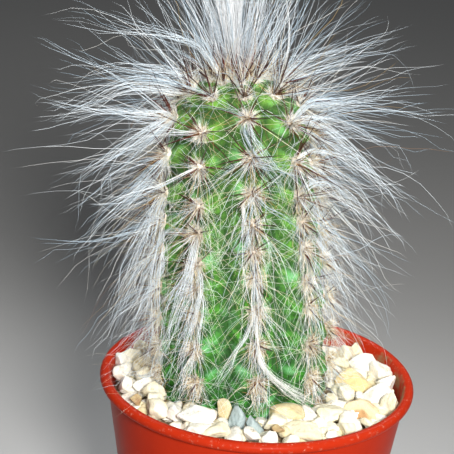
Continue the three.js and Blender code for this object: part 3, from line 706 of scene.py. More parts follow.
# Layers are lists of stones, each with the fineness of its balls and the most that its stones tilt.
def makeStones(name, layers, seed):
    random = np.random.default_rng(seed)
    shapes, shades = [], []
    for layer, detail, tilt in layers:
        for shade, place, halves, turn in layer:
            lean = random.uniform(-tilt, tilt, 2)
            shape = pebble(place, halves, (*lean, math.radians(turn)), detail, random)
            shapes.append(shape)
            shades.append(np.full(len(shape[0]), shade + random.uniform(-0.06, 0.06)))
    points, faces = joinShapes(shapes)
    room = innerWall(np.minimum(points[:, 2], wallTop)) - 0.1  # stones by the wall lie flat against it
    points[:, :2] *= np.minimum(1, room / np.hypot(points[:, 0], points[:, 1]))[:, None]
    marks = {"shade": np.clip(np.concatenate(shades), 0, 1)}
    return makePiece(name, points, [], faces, stoneFinishes["gravel"], marks, stonePatches(shapes))


def makeBed():
    rings = np.linspace(20, stones["bedReach"], 22)
    turns = np.radians(np.arange(0, 360, 6))
    levels, count = len(rings), len(turns)
    radii, angles = np.meshgrid(rings, turns, indexing="ij")
    x, y = radii * np.cos(angles), radii * np.sin(angles)
    ripple = 0.5 * np.sin(x * 1.7) * np.sin(y * 1.9) + 0.3 * np.sin(x * 3.1 + y * 2.3)
    top = np.stack([x, y, bedHeight(x, y) - 0.6 + ripple], -1).reshape(-1, 3)
    low = top.copy()
    low[:, 2] = stones["bedFloor"]
    above = sleeveFaces(levels, count)[0][:, [0, 3, 2, 1]]
    under = above[:, ::-1] + len(low)
    here, lowHere = np.arange(count), np.arange(count) + len(low)
    after, lowAfter = np.roll(here, -1), np.roll(lowHere, -1)
    wall = np.stack([here, lowHere, lowAfter, after], 1) + (levels - 1) * count
    well = np.stack([after, lowAfter, lowHere, here], 1)
    faces = np.concatenate([above, under, wall, well])
    return makePiece("gravelBed", np.concatenate([top, low]), faces, [], fineGrit())


def makeOwnStone(name, place, halves, turn, seed, finish):
    random = np.random.default_rng(seed)
    points, faces, heading = shape = pebble(place, halves, turn, 4, random, flats=9, sharpness=24.0)
    shade = 0.45 + 0.22 * np.sin(heading @ np.array([1.9, 2.6, -1.7]) + seed)
    return makePiece(name, points, [], faces, finish, {"shade": shade}, stonePatches([shape]))


clearest = [
    (stones[shade], place, np.array(halves) * stones["swell"], turn)
    for shade, place, halves, turn in placedStones
]
topLayers = [(clearest, 4, 0.12), (strewnStones(), 3, 0.35)]
settle(makeStones("gravelStones", topLayers, stones["seed"] + 1), "gravel", "gravel")
settle(makeStones("gravelFill", [(underStones(), 3, 0.6)], stones["fillSeed"]), "gravel")
settle(makeBed(), "gravel")
for node, name, *shape in ownStones:
    slot = node.split("_")[0]
    settle(makeOwnStone(name, *shape, stoneFinishes[slot]), slot, node)
print("stones made")


# A height map of the stones' tops and the pot's rim, one cell to a millimetre.
groundSize = 60


def groundMap():
    heights = np.full((2 * groundSize + 1, 2 * groundSize + 1), -1e3)
    for name in ("gravelStones", "slateStoneLeft", "slateStoneRight", "ochreStone", "stainedStone"):
        mesh = bpy.data.objects[name].data
        tops = np.zeros(len(mesh.vertices) * 3)
        mesh.vertices.foreach_get("co", tops)
        tops = tops.reshape(-1, 3) / millimetre
        cells = np.rint(tops[:, :2]).astype(int) + groundSize
        np.maximum.at(heights, (cells[:, 0], cells[:, 1]), tops[:, 2])
    heights = np.max([np.roll(heights, (a, b), (0, 1)) for a in (-1, 0, 1) for b in (-1, 0, 1)], 0)
    x, y = np.meshgrid(*[np.arange(-groundSize, groundSize + 1)] * 2, indexing="ij")
    overRim = np.abs(np.hypot(x, y) - (pot["rimRadius"] - pot["beadRadius"])) < pot["beadRadius"] + 1
    return np.where(overRim, np.maximum(heights, pot["height"] + 0.1), heights)


ground = groundMap()


def groundLevel(points):
    cells = np.clip(np.rint(points[..., :2]).astype(int) + groundSize, 0, 2 * groundSize)
    return ground[cells[..., 0], cells[..., 1]]


# Moves points that lie in the stem out to its skin, and points that lie in a stone or the rim above it.
def keptOut(points, gap):
    local = toPlant(points)
    reach = np.maximum(np.hypot(local[..., 0], local[..., 1]), 1e-6)
    skin = skinRadius(local[..., 2], np.degrees(np.arctan2(local[..., 1], local[..., 0]))) + gap
    inside = (reach < skin) & (local[..., 2] > 0) & (local[..., 2] < plant["top"] - 0.5)
    local[..., :2] *= np.where(inside, skin / reach, 1)[..., None]
    placed = toWorld(local)
    placed[..., 2] = np.maximum(placed[..., 2], groundLevel(placed) + 0.15)
    return placed


# One value for each areole of a rib, from its lowest to its highest, where eleven are listed.
hair = {
    "seed": 31, "lockSeed": 77, "longRadius": 0.066, "fineRadius": 0.036, "woolRadius": 0.075,
    # how full the long hair is on each rib, and on the top three areoles of it
    "fullness": (0.30, 0.28, 0.34, 0.45, 0.55, 0.55, 0.42, 0.34, 0.36),
    "topFullness": (0.15, 0.50, 0.80, 0.65, 0.60, 0.60, 0.48, 0.30, 0.15),
    "elevation": (-70, -69, -66, -61, -53, -43, -32, -19, 0, 26, 58),
    "length": (16, 22, 28, 33, 38, 41, 44, 48, 51, 51, 48),
    "droop": (0.20, 0.20, 0.19, 0.17, 0.14, 0.11, 0.08, 0.05, 0.02, 0.01, 0.0),
    "swing": (18, 20, 22, 26, 32, 38, 44, 48, 50, 50, 50),
    "wisps": (3, 4, 4, 5, 6, 6, 6, 6, 6, 6, 3), "perWisp": 5, "wispWidth": (0.9, 2.3),
    "elevationSpread": 23, "singles": 14, "tangled": 14, "radials": 30, "radialLength": (4.0, 15.0),
    "crossers": 15, "crossLength": (12.0, 34.0), "wool": 150, "bristles": 12, "mats": 17, "dried": 64,
    "stubble": 16,
    "blue": (0.38, 0.50, 0.60), "pale": (0.82, 0.89, 0.94), "clean": (0.90, 0.91, 0.90),
    "cream": (0.90, 0.77, 0.50), "tan": (0.56, 0.38, 0.13), "old": (0.17, 0.060, 0.030),
    "root": (0.84, 0.74, 0.55),
}


# A strand's tone runs from 0, blue grey, a painted shade on the white hair, over 0.5, cream, to 1, old brown.
# Along runs from root to tip.
def whiteHair():
    finish = Finish("whiteHair")
    tone, along = finish.mark("tone"), finish.mark("along")
    # tone 0 is painted shade: a blue grey, shaded copy of the white hair
    body = finish.ramp(tone, [
        (0.0, hair["blue"]), (0.16, hair["pale"]), (0.3, hair["clean"]), (0.55, hair["cream"]),
        (0.78, hair["tan"]), (1.0, hair["old"]),
    ])
    nearRoot = finish.between(0.16 - along, 0.0, 0.16)
    finish.feed("baseColor", finish.blend(nearRoot * 0.6, body, hair["root"]))
    finish.feed("roughness", tone * 0.25 + 0.34)
    return finish


hairFinish = whiteHair()


# Grows paths in steps. Each heading droops, sways a little and slides along what it meets.
def grow(roots, headings, lengths, random, steps, droop, sway, gap, kinks=0.05):
    count = len(roots)
    path = [roots]
    heading = unit(headings)
    stride = (lengths / steps)[:, None]
    axes = unit(random.normal(size=(2, count, 3)))
    phases = random.uniform(0, fullTurn, (2, count, 1))
    rates = random.uniform(0.5, 1.6, (2, count, 1))
    pull = droop * stride / 10 * down
    bend = sway * stride / 10
    for step in range(steps):
        turn = (axes * np.sin(phases + fullTurn * rates * step / steps)).sum(0)
        heading = unit(heading + pull + bend * turn + kinks * random.normal(size=(count, 3)))
        moved = keptOut(path[-1] + heading * stride, gap)
        heading = unit(0.5 * heading + 0.5 * unit(moved - path[-1]))
        path.append(moved)
    return np.stack(path, 1)


# Reads points on paths at any share of their length.
def readPath(paths, shares):
    steps = paths.shape[1] - 1
    place = np.clip(shares, 0, 1) * steps
    low = np.minimum(place.astype(int), steps - 1)
    rows = np.arange(len(paths))[:, None]
    part = (place - low)[..., None]
    return paths[rows, low] * (1 - part) + paths[rows, low + 1] * part


# Combs strands along guides: they leave the root close together, spread, and may gather again at the tip.
def comb(guides, perLock, random, count, width, gather, loose, shortest, wavy, root=0.22):
    picked = np.repeat(np.arange(len(guides)), perLock)
    total = len(picked)
    guide = guides[picked]
    length = np.linalg.norm(np.diff(guide, axis=1), axis=2).sum(1)[:, None]
    ends = shortest + (1 - shortest) * random.uniform(0, 1, total) ** 1.1
    shares = np.linspace(0, 1, count)[None, :] * ends[:, None]
    ahead = unit(readPath(guide, shares + 0.04) - readPath(guide, shares - 0.04))
    lean = unit(random.normal(size=(len(guides), 3)))[picked]
    aside = unit(np.cross(ahead, lean[:, None, :] + down * 0.01))
    beyond = np.cross(ahead, aside)
    reach = np.sqrt(random.uniform(0, 1, total))[:, None]
    turn = random.uniform(0, fullTurn, total)[:, None]
    broad = np.broadcast_to(width, len(guides))[picked][:, None]
    drawn = 1 - np.broadcast_to(gather, len(guides))[picked][:, None] * shares ** 1.5
    profile = broad * (root + (1 - root) * np.minimum(shares * 2.2, 1) ** 0.7) * drawn
    stray = loose * random.normal(size=(2, total, 1)) * shares ** 1.7 * length * 0.10
    wave = wavy * random.uniform(0.15, 0.6, (total, 1)) * np.minimum(length / 35, 1) * shares ** 0.8
    phases = random.uniform(0, fullTurn, (4, total, 1))
    rates = random.uniform(1.0, 3.6, (4, total, 1))
    slow = np.sin(phases[:2] + fullTurn * rates[:2] * shares)
    quick = np.sin(phases[2:] + fullTurn * rates[2:] * shares ** 1.6)
    waves = wave * (slow + 0.6 * quick)
    offsetA = profile * reach * np.cos(turn) + stray[0] + waves[0]
    offsetB = profile * reach * np.sin(turn) + stray[1] + waves[1]
    return readPath(guide, shares) + aside * offsetA[..., None] + beyond * offsetB[..., None]


# Gathers strands as thin three-sided hairs that taper to a point, with a tone for each.
class Strands:
    def __init__(self):
        self.points, self.quads, self.triangles, self.tones, self.alongs = [], [], [], [], []
        self.size = 0

    def add(self, paths, radius, tones, random, taper=0.7, stain=0.0):
        total, count, _ = paths.shape
        levels = count - 1
        ahead = unit(np.gradient(paths, axis=1))
        whole = unit(paths[:, -1] - paths[:, 0])
        across = unit(np.cross(whole, unit(random.normal(size=(total, 3)))))[:, None, :]
        side = unit(across - (across * ahead).sum(2, keepdims=True) * ahead)
        beyond = np.cross(ahead, side)
        shares = np.linspace(0, 1, count)
        thick = np.broadcast_to(radius, total)[:, None, None] * (1 - taper * shares ** 1.5)[:, None]
        turns = fullTurn * np.arange(3) / 3
        rings = [paths + (side * math.cos(turn) + beyond * math.sin(turn)) * thick for turn in turns]
        body = np.stack(rings, 2)[:, :-1].reshape(total, levels * 3, 3)
        every = np.concatenate([body, paths[:, -1:]], 1)
        starts = self.size + np.arange(total)[:, None, None] * every.shape[1]
        here = 3 * (levels - 1) + np.arange(3)
        tip = np.stack([here, np.roll(here, -1), np.full(3, 3 * levels)], 1)
        ends = np.append(tip, [[2, 1, 0]], 0)
        self.quads.append((starts + sleeveFaces(levels, 3)[0]).reshape(-1, 4))
        self.triangles.append((starts + ends).reshape(-1, 3))
        self.points.append(every.reshape(-1, 3))
        # each corner's tone is a little its own, so that no face of the flat map is without area
        corners = np.append(np.tile(np.arange(3), levels), 1)
        tone = np.broadcast_to(tones, total)[:, None] + (corners - 1) * 0.0012
        along = np.append(np.repeat(shares[:-1], 3), 1.0)
        # old brown at the root of some strands, gone by a third of the way up
        stained = stain * random.uniform(0, 1, (total, 1)) ** 1.5 * np.clip(1 - along / 0.34, 0, 1)
        tone = np.clip(tone + stained, 0.002, 0.998)
        self.tones.append(tone.ravel())
        self.alongs.append(np.broadcast_to(along, tone.shape).ravel())
        self.size += len(self.points[-1])

    def piece(self, name, finish):
        points, quads, triangles, tones, alongs = (
            np.concatenate(lists)
            for lists in (self.points, self.quads, self.triangles, self.tones, self.alongs)
        )
        marks = {"tone": tones, "along": alongs}
        return makePiece(name, points, quads, triangles, finish, marks, np.stack([tones, alongs], 1))


# One areole: its place, and its directions outwards, up along the crest, to the side and level outwards.
class Areole:
    def __init__(self, rib, row):
        turn = plant["firstRib"] + ribStep * rib
        height = areoleHeights[rib, row]
        angle = math.radians(turn)
        step = 0.15
        slope = crestRadius(np.array(height + step)) - crestRadius(np.array(height - step))
        self.rib, self.row = rib, row
        self.place = skinPoint(np.array(height), np.array(turn))
        self.radial = leaning @ np.array([math.cos(angle), math.sin(angle), 0])
        self.side = leaning @ np.array([-math.sin(angle), math.cos(angle), 0])
        self.upward = unit(self.radial * slope + stemAxis * 2 * step)
        self.outward = unit(np.cross(self.side, self.upward))
        self.growth = row / (areoleCount - 1)  # 0 at the rib's foot and 1 at its top
        self.scale = math.sqrt(crestRadius(np.array(height)) / plant["radius"])
        self.stain = 0.12 + 0.4 * self.growth ** 2  # how brown the roots of its long hair are

    # Places near it. Every distance is a number or a column of them.
    def near(self, out=0.0, aside=0.0, up=0.0):
        return self.place + out * self.outward + aside * self.side + up * self.upward

    # Directions over the skin, by their turn from straight up the crest in radians.
    def around(self, clock, upright=1.0):
        return np.cos(clock) * self.upward * upright + np.sin(clock) * self.side

    # Headings from an elevation over the level and a swing to the side, both in degrees.
    def aimed(self, elevation, sideways):
        rise, swing = np.radians(elevation)[:, None], np.radians(sideways)[:, None]
        level = np.cos(swing) * self.radial + np.sin(swing) * self.side
        return np.cos(rise) * level + np.sin(rise) * stemAxis


# Tones from the rare range for this share of the strands, and from the usual range for the others.
def mixedTones(random, count, share, rare, usual):
    picked = random.uniform(size=count) < share
    return np.where(picked, random.uniform(*rare, count), random.uniform(*usual, count))


def fullnessAt(spot):
    return hair["topFullness" if spot.row > 7 else "fullness"][spot.rib]


# Wisps of long hair.
def addWisps(strands, spot, random):
    wisps = max(1, round(hair["wisps"][spot.row] * fullnessAt(spot)))
    elevation = hair["elevation"][spot.row] + random.normal(0, hair["elevationSpread"], wisps)
    swing = np.linspace(-1, 1, wisps) * hair["swing"][spot.row] * random.uniform(0.4, 1.2, wisps)
    up, aside = random.uniform(-1, 1, (2, wisps, 1))
    roots = spot.near(0.9 * spot.scale, aside, up)
    lengths = hair["length"][spot.row] * random.uniform(0.75, 1.15, wisps)
    headings = unit(spot.aimed(np.minimum(elevation, 76), swing) + 0.35 * spot.outward)
    droop = hair["droop"][spot.row]
    guides = grow(roots, headings, lengths, random, steps=14, droop=droop, sway=0.25, gap=0.8, kinks=0.045)
    width = random.uniform(*hair["wispWidth"], wisps)
    gather = random.uniform(-0.1, 0.95, wisps)
    wavy = 2.0 - 0.6 * spot.growth
    paths = comb(guides, hair["perWisp"], random, 11, width, gather, loose=1.1, shortest=0.30, wavy=wavy)
    tones = np.repeat(random.uniform(-0.08, 0.20, wisps), hair["perWisp"])
    tones = tones + random.uniform(-0.10, 0.12, len(tones)) + 0.08 * (1 - spot.growth)
    thick = hair["longRadius"] * random.uniform(0.6, 1.4, len(paths))
    strands.add(keptOut(paths, 0.12), thick, tones, random, stain=spot.stain)


# Single long hairs that stray, or shorter tangled ones, by how many, their reach, how they bend and
# spread, and the share of them that is brown.
def addSingles(strands, spot, random, count, reach, sway, spreading, brown):
    row = spot.row
    elevation = hair["elevation"][row] + random.normal(0, 24 * spreading, count)
    swing = random.normal(0, hair["swing"][row] * spreading, count)
    headings = unit(spot.aimed(np.clip(elevation, -75, 80), swing) + 0.3 * spot.outward)
    lengths = hair["length"][row] * random.uniform(*reach, count)
    roots = np.tile(spot.near(spot.scale), (count, 1))
    droop = hair["droop"][row] * 0.8
    paths = grow(roots, headings, lengths, random, steps=9, droop=droop, sway=sway, gap=0.35, kinks=0.09)
    tones = mixedTones(random, count, brown, (0.78, 1.0), (0.0, 0.35))
    thick = hair["longRadius"] * random.uniform(0.6, 1.25, count)
    strands.add(paths, thick, tones, random, stain=spot.stain)


# Fine hairs that lie over the skin, by their turns in degrees.
def addLying(strands, spot, random, clock, length, lift, sway):
    count = len(clock)
    way = spot.around(np.radians(clock)[:, None], 0.8)
    lengths = random.uniform(*length, count) * (0.75 + 0.35 * spot.scale)
    aside, up = random.normal(0, 1.1, (count, 1)), random.normal(0, 1.3, (count, 1))
    headings = way + random.uniform(*lift, (count, 1)) * spot.outward
    roots = spot.near(0.6, aside, up)
    paths = grow(roots, headings, lengths, random, steps=7, droop=0.26, sway=sway, gap=0.25)
    strands.add(paths, hair["fineRadius"], random.uniform(0.1, 0.58, count), random)


# Curly wool on the areole, or stiff bristles round it.
def addWool(strands, spot, random, count, radius, lift, length, sway):
    way = spot.around(random.uniform(0, fullTurn, count)[:, None])
    headings = way + random.uniform(*lift, (count, 1)) * spot.outward
    out, up = random.uniform(0.3, 2.1, (count, 1)), random.uniform(0.3, 1.5, (count, 1))
    roots = spot.place + (way * out + spot.outward * up) * spot.scale
    lengths = random.uniform(*length, count) * spot.scale
    paths = grow(roots, headings, lengths, random, steps=3, droop=0.3, sway=sway, gap=0.1)
    tones = 0.36 + 0.12 * (1 - spot.growth) + random.uniform(-0.16, 0.14, count)
    brown = random.uniform(size=count) < (0.25 if spot.row < 2 else 0.04)
    strands.add(paths, radius, np.where(brown, random.uniform(0.82, 1.0, count), tones), random)


# Rusty stubble that shows in the hair of the sides.
def addStubble(strands, spot, random):
    count = round(hair["stubble"] * (0.3 if spot.row < 4 else 0.6))
    headings = spot.outward + 0.42 * random.normal(size=(count, 3)) - 0.2 * spot.upward
    roots = spot.near(0.8 * spot.scale, random.normal(0, 0.8, (count, 1)))
    lengths = random.uniform(3.5, 10.0, count) * spot.scale
    paths = grow(roots, headings, lengths, random, steps=4, droop=0.1, sway=0.6, gap=0.3)
    strands.add(paths, hair["woolRadius"] * 1.2, random.uniform(0.86, 1.0, count), random)


# Matted old hair that hangs down the crest.
def addMats(strands, spot, random):
    count = round(hair["mats"] * (1.0 if spot.row < 5 else 0.6) * (0.5 if 1 < spot.rib < 8 else 1))
    slant = random.normal(0, 0.07, (count, 1))
    headings = spot.side * slant - spot.upward + spot.outward * random.uniform(0.02, 0.25, (count, 1))
    lengths = random.uniform(7, 24, count)
    roots = spot.near(random.uniform(0.4, 1.4, (count, 1)), random.normal(0, 1.0, (count, 1)))
    paths = grow(roots, headings, lengths, random, steps=7, droop=0.35, sway=1.1, gap=0.35, kinks=0.12)
    tones = mixedTones(random, count, 0.35, (0.5, 0.9), (0.08, 0.42))
    strands.add(paths, hair["woolRadius"] * 0.9, tones, random)


# Dried scraps round the foot of the rib.
def addScraps(strands, spot, random):
    count = hair["dried"] // (1 + spot.row)
    drop = random.uniform(-1, 6.5 if spot.row == 0 else 3, (count, 1))
    aside, out = random.normal(0, 1.5, (count, 1)), random.uniform(0.2, 1.6, (count, 1))
    headings = random.normal(size=(count, 3)) + spot.outward * 0.6 - spot.upward * 0.4
    lengths = random.uniform(1.2, 4.4, count)
    roots = spot.near(out, aside, -drop)
    paths = grow(roots, headings, lengths, random, steps=4, droop=0.4, sway=2.6, gap=0.15, kinks=0.2)
    tones = mixedTones(random, count, 0.65, (0.20, 0.52), (0.82, 1.0))
    strands.add(paths, hair["woolRadius"] * 1.7, tones, random)


def hairOfRib(rib):
    random = np.random.default_rng(hair["seed"] + rib)
    strands = Strands()
    for row in range(areoleCount):
        spot = Areole(rib, row)
        addWisps(strands, spot, random)
        singles = round(hair["singles"] * fullnessAt(spot) * (0.5 if row > 9 else 1))
        tangled = round(hair["tangled"] * (1 if 1 < row < 9 else 0.4))
        addSingles(strands, spot, random, singles, reach=(0.45, 1.25), sway=0.45, spreading=1.0, brown=0.12)
        addSingles(strands, spot, random, tangled, reach=(0.2, 0.5), sway=2.2, spreading=1.5, brown=0.45)
        # longer hairs that cross to the next ribs, and short ones that spread all round
        crossers = round(hair["crossers"] * (0.35 if row > 7 else 0.75 if row < 4 else 1))
        crossing = random.choice([112, 248], crossers) + random.normal(0, 24, crossers)
        radials = round(hair["radials"] * (0.22 if row > 7 else 0.65 if row < 5 else 0.85))
        spreading = random.uniform(0, 360, radials)
        addLying(strands, spot, random, spreading, hair["radialLength"], lift=(0.08, 0.7), sway=1.1)
        addLying(strands, spot, random, crossing, hair["crossLength"], lift=(0.15, 0.6), sway=0.5)
        bristles = hair["bristles"] if row > 1 else 4
        thin, thick = hair["woolRadius"], hair["woolRadius"] * 1.2
        addWool(strands, spot, random, hair["wool"], thick, lift=(0.2, 2.0), length=(1.6, 4.4), sway=3.0)
        addWool(strands, spot, random, bristles, thin, lift=(0.2, 0.8), length=(3.0, 6.0), sway=0.3)
        if 0 < row < 10:
            addStubble(strands, spot, random)
        if row < 8:
            addMats(strands, spot, random)
        if row < 2:
            addScraps(strands, spot, random)
    return strands


for rib in range(plant["ribs"]):
    settle(hairOfRib(rib).piece(f"ribHair{rib + 1}", hairFinish), "hair", f"areole_row_{rib + 1}")
print("rib hair made")


# How loose each kind of lock is, its shortest strand as a share of its length, how wavy it is, and how
# brown its root is.
lockStyles = {"hanging": (0.4, 0.8, 1.2, 0.2), "free": (0.6, 0.35, 1.8, 0.4)}

